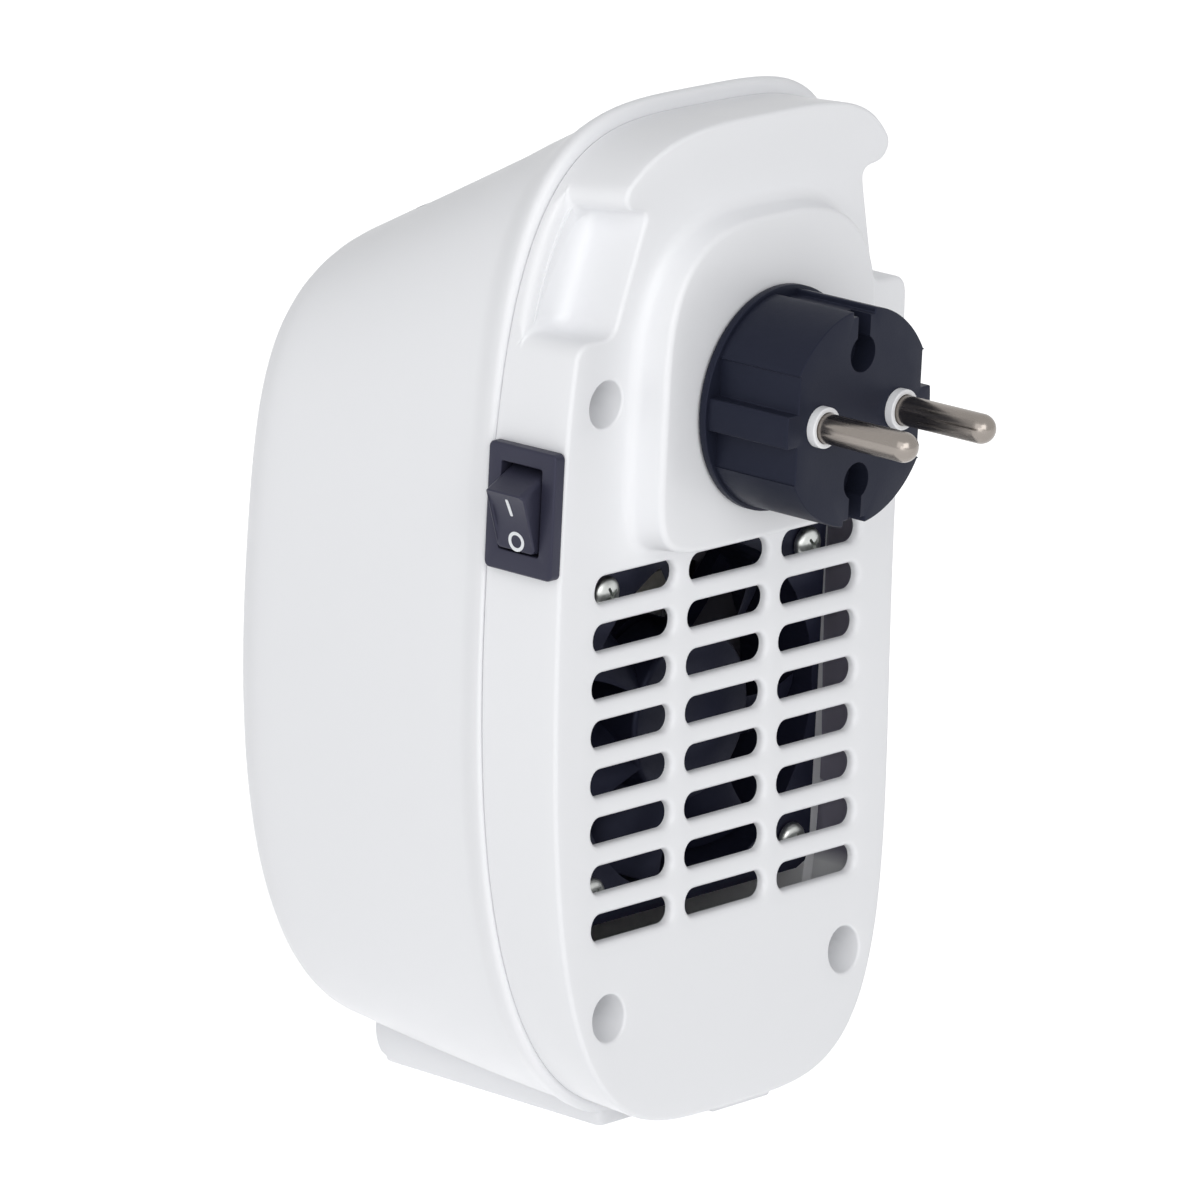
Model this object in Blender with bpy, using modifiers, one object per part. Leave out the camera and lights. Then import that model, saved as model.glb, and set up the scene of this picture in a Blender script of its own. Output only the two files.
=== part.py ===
"""Plug-in ceramic fan heater, built as separate named pieces, in metres with +Z up.

The origin is on the table under the middle of the foot.  The warm air leaves along -Y,
the plug points along +Y, and the rocker switch is on the +X side.
"""
import math

import bmesh
import bpy
import numpy as np
from mathutils import Matrix, Vector

# Clearances and plain wall thicknesses
GAP = 0.0003
TURN_GAP = 0.0005
WALL = 0.0022
PLATE_WALL = 0.0017
SMALL_EDGE = 0.0004

# Case outline at the seam, seen along Y: two half superellipses that meet at the widest height
CASE_HALF_WIDTH = 0.0416
CASE_MIDDLE_Z = 0.0900
CASE_UP = 0.0739
CASE_DOWN = 0.0874
OUTLINE_POWER_UP = 3.9
OUTLINE_POWER_DOWN = 3.2
OUTLINE_STEPS = 38
OUTLINE_SAMPLES = 1440
OUTLINE_TURN_SHARE = 0.8

# Outline of the back plate, by how much it differs from the seam's
BACK_TAPER = 0.0005
BACK_RISE = 0.0011
BACK_LIFT = 0.0010
BACK_POWER_UP = 3.6
BACK_POWER_DOWN = 3.9

# Depths along Y at the height where the dished back and the seam are flattest
SEAM_Y = 0.0138
PLATE_Y = 0.02854
FRONT_Y = -0.0440
DISH_Z = 0.1030
DISH_REACH = 1.578
SEAM_BOW_Z = 0.0892
SEAM_REACH_UP = 1.25
SEAM_REACH_DOWN = 0.97
FRONT_BULGE_Z = 0.0760
FRONT_BULGE_REACH = 0.85
SEAM_GAP = 0.0005
PLATE_EDGE_RADIUS = 0.0010

# Front shell: rim round the seam with its flare, taper and sloping top
RIM_SIDE = 0.0004
RIM_TOP = 0.0017
RIM_BOTTOM = 0.0020
RIM_CREST_AHEAD = 0.0013
RIM_EDGE = 0.0005
FLARE_PROUD = 0.0006
FLARE_LENGTH = 0.0050
FRONT_TAPER = 0.0024
FRONT_DROP = 0.0319
FRONT_LIFT = 0.0054
FRONT_EDGE_RADIUS = 0.0090
FRONT_STATIONS = 6
EDGE_STATIONS = 4
TONGUE_LENGTH = 0.0030
TONGUE_WALL = 0.0014

# Foot under the front shell and the short ledge behind it
FOOT_HALF_WIDTH = 0.0170
FOOT_FRONT_Y = -0.0280
FOOT_FLAT_FRONT_Y = -0.0190
FOOT_HEIGHT = 0.0085
FOOT_DROP = 0.0006
LEDGE_FAR_X = -0.0172
LEDGE_NEAR_X = -0.0028
LEDGE_DEPTH = 0.0064
LEDGE_HEIGHT = 0.0056

# Air slots in the back
SLOT_COLUMNS = 3
SLOT_ROWS = 8
SLOT_PITCH_X = 0.0226
SLOT_PITCH_Z = 0.00776
SLOT_WIDTH = 0.0192
SLOT_HEIGHT = 0.0045
SLOT_TOP_RISE = 0.0269

# Finger grips beside the plug
GRIP_TOP_Z = 0.1534
GRIP_SHOULDER_Z = 0.1328
GRIP_INNER_TOP_X = 0.0260
GRIP_INNER_LOW_X = 0.0316
GRIP_DEPTH = 0.0112
GRIP_CORNER = 0.0030

# Raised plug platform on the back
PLUG_Z = 0.1200
BOSS_Y = 0.03506
BOSS_MIDDLE_Z = 0.1232
BOSS_HALF_WIDTH = 0.0255
BOSS_HALF_HEIGHT = 0.0262
BOSS_POWER_UP = 3.0
BOSS_POWER_DOWN = 7.0
BOSS_FLARE = 0.0030
BOSS_EDGE = 0.0008
BOSS_STEPS = 28

# Plug: a standard round mains plug with two 4.8 mm pins 19 mm apart
PLUG_RADIUS = 0.01745
PLUG_LENGTH = 0.01790
PLUG_COLLAR_RADIUS = 0.01805
PLUG_COLLAR_LENGTH = 0.0018
PLUG_NECK_RADIUS = 0.0130
PLUG_FLAT_X = 0.0149
PLUG_FLAT_HALF_HEIGHT = 0.0087
PLUG_RIB_X = 0.0167
PLUG_RIB_HALF_HEIGHT = 0.0026
PLUG_GROOVE_WIDTH = 0.0052
PLUG_GROOVE_DEPTH = 0.0012
KEYHOLE_RADIUS = 0.0030
KEYHOLE_Z = 0.0102
KEYHOLE_SLOT_WIDTH = 0.0030
KEYHOLE_DEPTH = 0.0040
PIN_RADIUS = 0.0024
PIN_LENGTH = 0.0190
PIN_HALF_PITCH = 0.0095
PIN_ROOT = 0.0120
SLEEVE_RADIUS = 0.00327
SLEEVE_WALL = 0.00057
SLEEVE_ROOT = 0.0040
SLEEVE_PROUD = 0.0014
RETAINER_RADIUS = 0.0170
RETAINER_HOLE_RADIUS = 0.0050
RETAINER_THICKNESS = 0.0024
RETAINER_SCREW_X = 0.0090

# Rocker switch on the +X side
SWITCH_Z = 0.1059
SWITCH_Y = 0.02155
BEZEL_WIDTH = 0.0136
BEZEL_HEIGHT = 0.0197
BEZEL_PROUD = 0.0014
BEZEL_CORNER = 0.0010
HOUSING_WIDTH = 0.0092
HOUSING_HEIGHT = 0.0168
HOUSING_DEPTH = 0.0115
ROCKER_WIDTH = 0.0075
ROCKER_OPENING_HALF = 0.0069
ROCKER_END_RISE = 0.0065
ROCKER_MIDDLE_RISE = 0.0056
ROCKER_PIVOT_DEPTH = 0.0042
ROCKER_REST_TILT = math.radians(14.0)
SWITCH_TAB_WIDTH = 0.0048
SWITCH_TAB_THICKNESS = 0.0008
SWITCH_TAB_LENGTH = 0.0060
SWITCH_TAB_OFFSET = 0.0045

# Axial fan: it fills the width that the side clearance leaves and hangs under the switch
FAN_SIDE_CLEARANCE = 0.0116
FAN_HALF = CASE_HALF_WIDTH - FAN_SIDE_CLEARANCE
FAN_TOP_CLEARANCE = 0.0023
FAN_Z = SWITCH_Z - 0.5 * HOUSING_HEIGHT - FAN_TOP_CLEARANCE - FAN_HALF
FAN_DEPTH = 0.0150
FAN_BACK_Y = 0.0232
FAN_HOLE_INSET = 0.0054
FAN_HOLE_HALF_PITCH = FAN_HALF - FAN_HOLE_INSET
FAN_RIM = 0.0015
FAN_BORE_RADIUS = FAN_HALF - FAN_RIM
FAN_CORNER = 0.0030
FAN_BASE_THICKNESS = 0.0026
FAN_STRUT_WIDTH = 0.0034
HUB_RADIUS_SHARE = 0.49
HUB_RADIUS = HUB_RADIUS_SHARE * FAN_BORE_RADIUS
FAN_BASE_RADIUS = HUB_RADIUS + 0.5 * GAP
HUB_LENGTH = 0.0100
HUB_WALL = 0.0016
BLADE_COUNT = 7
BLADE_TIP_GAP = 0.0013
BLADE_TIP_RADIUS = FAN_BORE_RADIUS - BLADE_TIP_GAP
BLADE_THICKNESS = 0.0012
BLADE_CHORD = 0.0125
BLADE_ROOT_ANGLE = math.radians(52.0)
BLADE_TIP_ANGLE = math.radians(30.0)
SHAFT_RADIUS = 0.0015
STATOR_CLEARANCE = 0.0019
STATOR_RADIUS = HUB_RADIUS - HUB_WALL - STATOR_CLEARANCE
STATOR_LENGTH = 0.0060
SCREW_HEAD_RADIUS = 0.00285
SCREW_HEAD_HEIGHT = 0.0018
SCREW_RADIUS = 0.0015
FAN_SCREW_BITE = 0.0070

# Air duct and heating element
DUCT_MARGIN = 0.0010
DUCT_OUTER = 2.0 * (FAN_HALF + DUCT_MARGIN)
DUCT_WALL = 0.0015
DUCT_FRONT_Y = -0.0300
DUCT_POST_RADIUS = 0.0036
DUCT_STANDOFF_HEIGHT = 0.0040
DUCT_STANDOFF_RADIUS = 0.0026
HEATER_BACK_Y = -0.0030
HEATER_DEPTH = 0.0130
HEATER_RAIL = 0.0040
CORE_COUNT = 3
CORE_HEIGHT = 0.0032
CORE_DEPTH_SHARE = 0.90
FIN_FOLDS = 14
FIN_SHEET_RISE = 0.0020
TERMINAL_WIDTH = 0.0050
TERMINAL_THICKNESS = 0.0008
TERMINAL_X = 0.0140
CUTOUT_RADIUS = 0.0050
CUTOUT_HEIGHT = 0.0034

# Warm air outlet in the front
OUTLET_INSET = 0.0015
OUTLET_HALF = FAN_HALF - OUTLET_INSET
OUTLET_CORNER = 0.0060
OUTLET_FRAME = 0.0022
OUTLET_FLANGE = 0.0016
OUTLET_DEPTH = 0.0100
LOUVRE_COUNT = 7
LOUVRE_THICKNESS = 0.0013
LOUVRE_CHORD = 0.0062
LOUVRE_TILT = math.radians(28.0)

# Control panel on the sloping top
PANEL_WIDTH = 0.0460
PANEL_HEIGHT = 0.0300
PANEL_THICKNESS = 0.0030
PANEL_CORNER = 0.0035
PANEL_CENTRE_Y = -0.0140
PANEL_PROUD = 0.0006
PANEL_SINK = 0.0022
WINDOW_WIDTH_SHARE = 0.522
WINDOW_WIDTH = WINDOW_WIDTH_SHARE * PANEL_WIDTH
WINDOW_HEIGHT = 0.0110
WINDOW_UP = 0.0055
BUTTON_COUNT = 4
BUTTON_RADIUS = 0.0034
BUTTON_PITCH_SHARE = 0.226
BUTTON_PITCH = BUTTON_PITCH_SHARE * PANEL_WIDTH
BUTTON_DOWN = 0.0085
BUTTON_PROUD = 0.0006
BUTTON_TRAVEL = 0.0006
BUTTON_FLANGE = 0.0007
BOARD_THICKNESS = 0.0014
TACT_SIZE = 0.0046
TACT_HEIGHT = 0.0030
PANEL_POST_RADIUS = 0.0022
PANEL_POST_INSET = 0.0030
PANEL_POST_X = 0.5 * PANEL_WIDTH - PANEL_POST_INSET
SLOPE_STEP_SHARE = 0.02

# Power board above the duct
POWER_BOARD_WIDTH = 0.0460
POWER_BOARD_DEPTH = 0.0280
POWER_BOARD_Y = -0.0130
RELAY_SIZE = (0.0150, 0.0185, 0.0140)
RELAY_PLACE = (0.0120, -0.0015)
BLOCK_SIZE = (0.0100, 0.0080, 0.0090)
BLOCK_PLACE = (-0.0150, 0.0060)

# Case screws in deep recesses, placed by shares of the half width and of the reach up or down
CASE_SCREW_HIGH_SHARES = (0.776, 0.436)
CASE_SCREW_LOW_SHARES = (0.695, -0.764)
RECESS_RADIUS = 0.0038
RECESS_WALL = 0.0013
CASE_SCREW_HEAD_RADIUS = 0.0033
CASE_SCREW_LENGTH = 0.0120
POST_RADIUS = 0.0042
POST_FRONT_Y = -0.0140
POST_RIB = 0.0016

LEAD_RADIUS = 0.0010
LEAD_STEPS = 4
FAN_LEAD_X = -0.0080
RIBBON_X = -0.0040

COLLECTION_NAME = "ceramic_heater"
WHITE = (0.86, 0.87, 0.89)
BLACK = (0.018, 0.019, 0.023)


def clear_scene():
    for item in list(bpy.data.objects):
        bpy.data.objects.remove(item, do_unlink=True)


def make_collections():
    parts = bpy.data.collections.new(COLLECTION_NAME)
    cutters = bpy.data.collections.new("cutters")
    bpy.context.scene.collection.children.link(parts)
    bpy.context.scene.collection.children.link(cutters)
    return parts, cutters


clear_scene()
PARTS, CUTTERS = make_collections()


def material(name, colour, roughness, metallic=0.0):
    made = bpy.data.materials.new(name)
    made.use_nodes = True
    shader = made.node_tree.nodes["Principled BSDF"]
    shader.inputs["Base Color"].default_value = (*colour, 1.0)
    shader.inputs["Roughness"].default_value = roughness
    shader.inputs["Metallic"].default_value = metallic
    made.diffuse_color = (*colour, 1.0)
    return made


def link_tool(name, mesh):
    item = bpy.data.objects.new(name, mesh)
    CUTTERS.objects.link(item)
    item.hide_render = True
    item.display_type = "WIRE"
    return item


def node(tool, look, origin=(0.0, 0.0, 0.0), smooth=False):
    """Turn a tool object into a visible piece whose own origin is at the given point."""
    CUTTERS.objects.unlink(tool)
    PARTS.objects.link(tool)
    tool.hide_render = False
    tool.display_type = "TEXTURED"
    shift = Vector(origin)
    tool.data.transform(Matrix.Translation(-shift))
    tool.location = shift
    tool.data.materials.clear()
    tool.data.materials.append(look)
    if smooth:
        tool.data.shade_smooth()
    return tool


def face_out(bm):
    """Turn all faces outward."""
    bmesh.ops.recalc_face_normals(bm, faces=bm.faces)
    if bm.calc_volume(signed=True) < 0.0:
        bmesh.ops.reverse_faces(bm, faces=bm.faces)


def mesh_from_bmesh(name, bm):
    face_out(bm)
    mesh = bpy.data.meshes.new(name)
    bm.to_mesh(mesh)
    bm.free()
    return mesh


def box(name, size, centre, turn=None):
    bm = bmesh.new()
    bmesh.ops.create_cube(bm, size=1.0)
    bmesh.ops.scale(bm, vec=Vector(size), verts=bm.verts)
    if turn is not None:
        bmesh.ops.transform(bm, matrix=turn, verts=bm.verts)
    bmesh.ops.translate(bm, vec=Vector(centre), verts=bm.verts)
    return link_tool(name, mesh_from_bmesh(name, bm))


def rod(name, radius, start, end, segments=24):
    """Cylinder between two points."""
    start = Vector(start)
    end = Vector(end)
    direction = end - start
    bm = bmesh.new()
    bmesh.ops.create_cone(bm, cap_ends=True, segments=segments, radius1=radius, radius2=radius,
                          depth=direction.length)
    bmesh.ops.transform(bm, matrix=direction.to_track_quat("Z", "Y").to_matrix().to_4x4(), verts=bm.verts)
    bmesh.ops.translate(bm, vec=(start + end) * 0.5, verts=bm.verts)
    return link_tool(name, mesh_from_bmesh(name, bm))


def turned(name, profile, base, direction, segments=32):
    """Solid of revolution from (radius, height) pairs that run from top to bottom."""
    mesh = bpy.data.meshes.new(name)
    points = [(radius, 0.0, height) for radius, height in profile]
    edges = [(index, index + 1) for index in range(len(points) - 1)]
    mesh.from_pydata(points, edges, [])
    spun = link_tool(name, mesh)
    screw = spun.modifiers.new("Spin", "SCREW")
    screw.steps = segments
    screw.render_steps = segments
    screw.use_merge_vertices = True
    screw.merge_threshold = 0.00001
    screw.use_normal_calculate = True
    turn = Vector(direction).to_track_quat("Z", "Y").to_matrix().to_4x4()
    return bake(spun, Matrix.Translation(Vector(base)) @ turn)


def bake(item, matrix=None):
    """Replace an object's mesh by its evaluated mesh, moved by the matrix."""
    graph = bpy.context.evaluated_depsgraph_get()
    mesh = bpy.data.meshes.new_from_object(item.evaluated_get(graph))
    bm = bmesh.new()
    bm.from_mesh(mesh)
    bmesh.ops.remove_doubles(bm, verts=bm.verts, dist=0.000002)
    if matrix is not None:
        bmesh.ops.transform(bm, matrix=matrix, verts=bm.verts)
    face_out(bm)
    bm.to_mesh(mesh)
    bm.free()
    name = item.name
    bpy.data.objects.remove(item, do_unlink=True)
    return link_tool(name, mesh)


def prism(name, loops, low, high, turn=None):
    """Extruded 2D curve: loops in X and Z run from low to high along Y."""
    curve = bpy.data.curves.new(name, "CURVE")
    curve.dimensions = "2D"
    curve.fill_mode = "BOTH"
    curve.extrude = (high - low) * 0.5
    for loop in loops:
        spline = curve.splines.new("POLY")
        spline.points.add(len(loop) - 1)
        for point, (x, z) in zip(spline.points, loop):
            point.co = (x, z, 0.0, 1.0)
        spline.use_cyclic_u = True
    holder = bpy.data.objects.new(name, curve)
    CUTTERS.objects.link(holder)
    stand = Matrix.Rotation(math.pi / 2.0, 4, "X")
    place = Matrix.Translation(Vector((0.0, (low + high) * 0.5, 0.0))) @ stand
    if turn is not None:
        place = turn @ place
    return bake(holder, place)


def arc(centre, radius, start, end, steps):
    spread = np.linspace(start, end, steps)
    return [(centre[0] + radius * math.cos(a), centre[1] + radius * math.sin(a)) for a in spread]


def round_rect(centre, half_x, half_z, radius, steps=5):
    loop = []
    corners = [(1, 1, 0.0), (-1, 1, 0.5), (-1, -1, 1.0), (1, -1, 1.5)]
    for side_x, side_z, turn in corners:
        middle = (centre[0] + side_x * (half_x - radius), centre[1] + side_z * (half_z - radius))
        loop += arc(middle, radius, math.pi * turn, math.pi * (turn + 0.5), steps)
    return loop


def boolean(target, tool, operation="DIFFERENCE"):
    change = target.modifiers.new(operation.title(), "BOOLEAN")
    change.operation = operation
    change.solver = "EXACT"
    change.object = tool
    return target


def cut(target, *tools):
    for tool in tools:
        boolean(target, tool, "DIFFERENCE")
    return target


def join(target, *tools):
    for tool in tools:
        boolean(target, tool, "UNION")
    return target


def bevel(item, width, segments=2, angle=35.0):
    edge = item.modifiers.new("Edge", "BEVEL")
    edge.width = width
    edge.segments = segments
    edge.limit_method = "ANGLE"
    edge.angle_limit = math.radians(angle)
    edge.use_clamp_overlap = True
    return item


# Case shape

def superellipse(half_width, up, down, middle_z, power_up, power_down, steps=OUTLINE_STEPS):
    """Outline points spread by length and by turn, so that corners get more of them."""
    angles = np.linspace(0.0, 2.0 * math.pi, OUTLINE_SAMPLES + 1)
    sine = np.sin(angles)
    cosine = np.cos(angles)
    power = np.where(sine >= 0.0, power_up, power_down)
    reach = np.where(sine >= 0.0, up, down)
    x = half_width * np.sign(cosine) * np.abs(cosine) ** (2.0 / power)
    z = middle_z + reach * np.sign(sine) * np.abs(sine) ** (2.0 / power)
    length = np.hypot(np.diff(x), np.diff(z))
    heading = np.unwrap(np.arctan2(np.diff(z), np.diff(x)))
    turn = np.abs(np.gradient(heading))
    weight = length / length.sum() + OUTLINE_TURN_SHARE * turn / turn.sum()
    travelled = np.concatenate([[0.0], np.cumsum(weight)])
    wanted = np.linspace(0.0, travelled[-1], steps + 1)[:-1]
    return list(zip(np.interp(wanted, travelled, x).tolist(), np.interp(wanted, travelled, z).tolist()))


def plate_y(z):
    """Depth of the back plate, which curves rearward above and below."""
    return PLATE_Y + (z - DISH_Z) ** 2 / DISH_REACH


def seam_y(z):
    reach = SEAM_REACH_UP if z > SEAM_BOW_Z else SEAM_REACH_DOWN
    return SEAM_Y + (z - SEAM_BOW_Z) ** 2 / reach


def front_y(z):
    return FRONT_Y + (z - FRONT_BULGE_Z) ** 2 / FRONT_BULGE_REACH


def case_loop(inset, width=CASE_HALF_WIDTH, up=CASE_UP, down=CASE_DOWN):
    return superellipse(width - inset, up - inset, down - inset, CASE_MIDDLE_Z,
                        OUTLINE_POWER_UP, OUTLINE_POWER_DOWN)


def back_loop(inset):
    """Outline of the back plate."""
    return superellipse(CASE_HALF_WIDTH - BACK_TAPER - inset, CASE_UP + BACK_RISE - inset,
                        CASE_DOWN - BACK_LIFT - inset, CASE_MIDDLE_Z, BACK_POWER_UP, BACK_POWER_DOWN)


def tongue_loop(inset):
    """Outline inside the front shell, lowered where its top already slopes down."""
    drop = TONGUE_LENGTH * FRONT_DROP / (SEAM_Y - FRONT_Y)
    return case_loop(inset, up=CASE_UP - drop)


def loft(name, rings, close_start=True, close_end=True):
    """Closed loft through rings of equal length, with a centre point on each closed end."""
    bm = bmesh.new()
    made = [[bm.verts.new(point) for point in ring] for ring in rings]
    count = len(made[0])
    for first, second in zip(made, made[1:]):
        for index in range(count):
            following = (index + 1) % count
            bm.faces.new((first[index], first[following], second[following], second[index]))
    for ring, closed in ((made[0], close_start), (made[-1], close_end)):
        if closed:
            cap_ring(bm, ring)
    return link_tool(name, mesh_from_bmesh(name, bm))


def cap_ring(bm, ring):
    middle = sum((vert.co for vert in ring), Vector()) / len(ring)
    centre = bm.verts.new(middle)
    count = len(ring)
    for index in range(count):
        bm.faces.new((ring[index], ring[(index + 1) % count], centre))


def ring_at(loop, depth, shift=0.0):
    return [(x, depth(z) + shift, z) for x, z in loop]


def shrink(loop, share):
    return [(x * share, CASE_MIDDLE_Z + (z - CASE_MIDDLE_Z) * share) for x, z in loop]


def face_rings(loop, depth, shift, shares=(0.7, 0.38)):
    """Inner rings that carry a curved end face."""
    rings = []
    for share in shares:
        rings.append(ring_at(shrink(loop, share), depth, shift))
    last = shrink(loop, shares[-1] * 0.2)
    rings.append(ring_at(last, depth, shift))
    return rings


def rear_solid(name, inset, start_shift, end_shift, edge):
    """Back half of the case as a solid from the seam to the curved plate."""
    rings = [ring_at(case_loop(inset), seam_y, start_shift)]
    for step in range(3):
        turn = 0.5 * math.pi * step / 2.0
        back = edge * (1.0 - math.sin(turn))
        side = edge * (1.0 - math.cos(turn))
        rings.append(ring_at(back_loop(inset + side), plate_y, end_shift - back))
    rings += face_rings(back_loop(inset + edge), plate_y, end_shift)
    return loft(name, [*reversed(face_rings(case_loop(inset), seam_y, start_shift)), *rings])


def boss_loop(grow):
    return superellipse(BOSS_HALF_WIDTH + grow, BOSS_HALF_HEIGHT + grow, BOSS_HALF_HEIGHT + grow,
                        BOSS_MIDDLE_Z, BOSS_POWER_UP, BOSS_POWER_DOWN, BOSS_STEPS)


def boss_solid(name, inset, depth_shift, root_depth):
    """Plug platform that blends into the curved plate."""
    rings = [ring_at(boss_loop(BOSS_FLARE - inset), plate_y, -root_depth)]
    steps = ((0.03, 1.0), (0.14, 0.62), (0.34, 0.34), (0.62, 0.14), (0.88, 0.0))
    for rise, flare in steps:
        loop = boss_loop(BOSS_FLARE * flare - inset)
        rings.append([(x, plate_y(z) * (1.0 - rise) + BOSS_Y * rise + depth_shift, z) for x, z in loop])
    last = boss_loop(-BOSS_EDGE - inset)
    rings.append([(x, BOSS_Y + depth_shift, z) for x, z in last])
    return loft(name, rings)


def grip_loop(grow, side):
    """Finger grip seen along Y; grow widens it for the wall round it."""
    outside = CASE_HALF_WIDTH + 0.5 * GRIP_DEPTH
    radius = GRIP_CORNER + grow
    top = GRIP_TOP_Z + grow
    low = GRIP_SHOULDER_Z - grow
    inner_top = GRIP_INNER_TOP_X - grow
    inner_low = GRIP_INNER_LOW_X - grow
    lean = math.atan2(inner_low - inner_top, top - low)
    loop = [(outside, low), (outside, top)]
    loop += arc((inner_top + radius, top - radius), radius, 0.5 * math.pi, math.pi, 4)
    loop += arc((inner_low + radius, low + radius), radius, math.pi + lean, 1.5 * math.pi, 4)
    return [(side * x, z) for x, z in loop]


def grip_solid(name, grow, side, floor_shift):
    """Cut for a finger grip: its floor follows the seam."""
    loop = grip_loop(grow, side)
    floor = [(x, plate_y(z) - GRIP_DEPTH - floor_shift, z) for x, z in loop]
    roof = [(x, BOSS_Y + GRIP_DEPTH, z) for x, z in loop]
    return loft(name, [floor, roof])


def slot_loops():
    loops = []
    for column in range(SLOT_COLUMNS):
        x = (column - 0.5 * (SLOT_COLUMNS - 1)) * SLOT_PITCH_X
        for row in range(SLOT_ROWS):
            z = FAN_Z + SLOT_TOP_RISE - row * SLOT_PITCH_Z
            half_z = SLOT_HEIGHT * 0.5
            loops.append(round_rect((x, z), SLOT_WIDTH * 0.5, half_z, half_z * 0.96, 3))
    return loops


def screw_places():
    places = []
    for across, along in (CASE_SCREW_HIGH_SHARES, CASE_SCREW_LOW_SHARES):
        x = across * CASE_HALF_WIDTH
        z = CASE_MIDDLE_Z + along * (CASE_UP if along > 0.0 else CASE_DOWN)
        places += [(x, z), (-x, z)]
    return places


def foot_low():
    """Height of the table under the foot."""
    return CASE_MIDDLE_Z - CASE_DOWN - RIM_BOTTOM - FOOT_DROP


def recess_floor(z):
    return seam_y(z) + RECESS_WALL + GAP


def build_rear_shell():
    shell = rear_solid("rear_shell", 0.0, 0.0, 0.0, PLATE_EDGE_RADIUS)
    tongue_inset = WALL + GAP
    tongue = loft("tongue", [ring_at(tongue_loop(tongue_inset), seam_y, -TONGUE_LENGTH),
                             ring_at(case_loop(tongue_inset), seam_y, 0.4 * WALL)])
    boss = boss_solid("boss", 0.0, 0.0, 0.5 * PLATE_WALL)
    join(shell, tongue, boss)
    ledge_z = foot_low() + LEDGE_HEIGHT * 0.5
    ledge_y = seam_y(foot_low()) + 0.5 * LEDGE_DEPTH
    ledge = box("ledge", (LEDGE_NEAR_X - LEDGE_FAR_X, LEDGE_DEPTH, LEDGE_HEIGHT),
                (0.5 * (LEDGE_NEAR_X + LEDGE_FAR_X), ledge_y, ledge_z))
    join(shell, ledge)
    for side in (1, -1):
        cut(shell, grip_solid(f"grip_{side}", 0.0, side, 0.0))
    hollow = rear_hollow()
    cut(shell, hollow)
    tubes(shell)
    air = prism("slots", slot_loops(), SEAM_Y + WALL, BOSS_Y)
    bore = rod("plug_bore", PLUG_NECK_RADIUS + GAP, (0.0, SEAM_Y, PLUG_Z), (0.0, BOSS_Y + WALL, PLUG_Z), 40)
    window = box("switch_window", (WALL * 6.0, HOUSING_WIDTH + 2.0 * GAP, HOUSING_HEIGHT + 2.0 * GAP),
                 (CASE_HALF_WIDTH, SWITCH_Y, SWITCH_Z))
    cut(shell, air, bore, window)
    return node(shell, material("shell_white_rear", WHITE, 0.38))


def rear_hollow():
    """Room inside the rear shell, kept clear of the grips."""
    hollow = rear_solid("rear_hollow", WALL, WALL, -PLATE_WALL, PLATE_EDGE_RADIUS)
    throat_inset = WALL + GAP + TONGUE_WALL
    throat = loft("throat", [ring_at(tongue_loop(throat_inset), seam_y, -TONGUE_LENGTH - WALL),
                             ring_at(case_loop(throat_inset), seam_y, WALL + GAP)])
    inner_boss = boss_solid("boss_hollow", WALL, -PLATE_WALL, 2.0 * PLATE_WALL)
    join(hollow, throat, inner_boss)
    for side in (1, -1):
        cut(hollow, grip_solid(f"grip_wall_{side}", PLATE_WALL, side, PLATE_WALL))
    return hollow


def tubes(shell):
    """Deep round recesses for the case screws."""
    for index, (x, z) in enumerate(screw_places()):
        floor = recess_floor(z)
        start = seam_y(z) + GAP
        end = plate_y(z) - 0.5 * PLATE_WALL
        tube = rod(f"recess_tube_{index}", RECESS_RADIUS + RECESS_WALL, (x, start, z), (x, end, z), 16)
        join(shell, tube)
        well = rod(f"recess_well_{index}", RECESS_RADIUS, (x, floor, z), (x, end + WALL, z), 16)
        hole = rod(f"recess_hole_{index}", SCREW_RADIUS + GAP, (x, start - WALL, z), (x, floor + WALL, z),
                   8)
        room = rod(f"post_room_{index}", POST_RADIUS + GAP, (x, start - TONGUE_LENGTH - WALL, z),
                   (x, seam_y(z) + 0.5 * GAP, z), 16)
        cut(shell, well, hole, room)


def front_station(share, rim=1.0):
    """Half width, reach up and reach down of the front shell at a share of its depth."""
    width = CASE_HALF_WIDTH + rim * (RIM_SIDE - FLARE_PROUD)
    up = CASE_UP + rim * (RIM_TOP - FLARE_PROUD)
    down = CASE_DOWN + rim * (RIM_BOTTOM - FLARE_PROUD)
    return (width + (CASE_HALF_WIDTH - FRONT_TAPER - width) * share ** 1.3,
            up + (CASE_UP - FRONT_DROP - up) * share,
            down + (CASE_DOWN + RIM_BOTTOM - FRONT_LIFT - down) * share ** 1.5)


def front_ring(share, inset, shift=0.0, extra=0.0):
    width, up, down = front_station(share, 0.0 if inset else 1.0)
    loop = case_loop(inset - extra, width, up, down)
    return [(x, seam_y(z) * (1.0 - share) + front_y(z) * share + shift, z) for x, z in loop]


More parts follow.
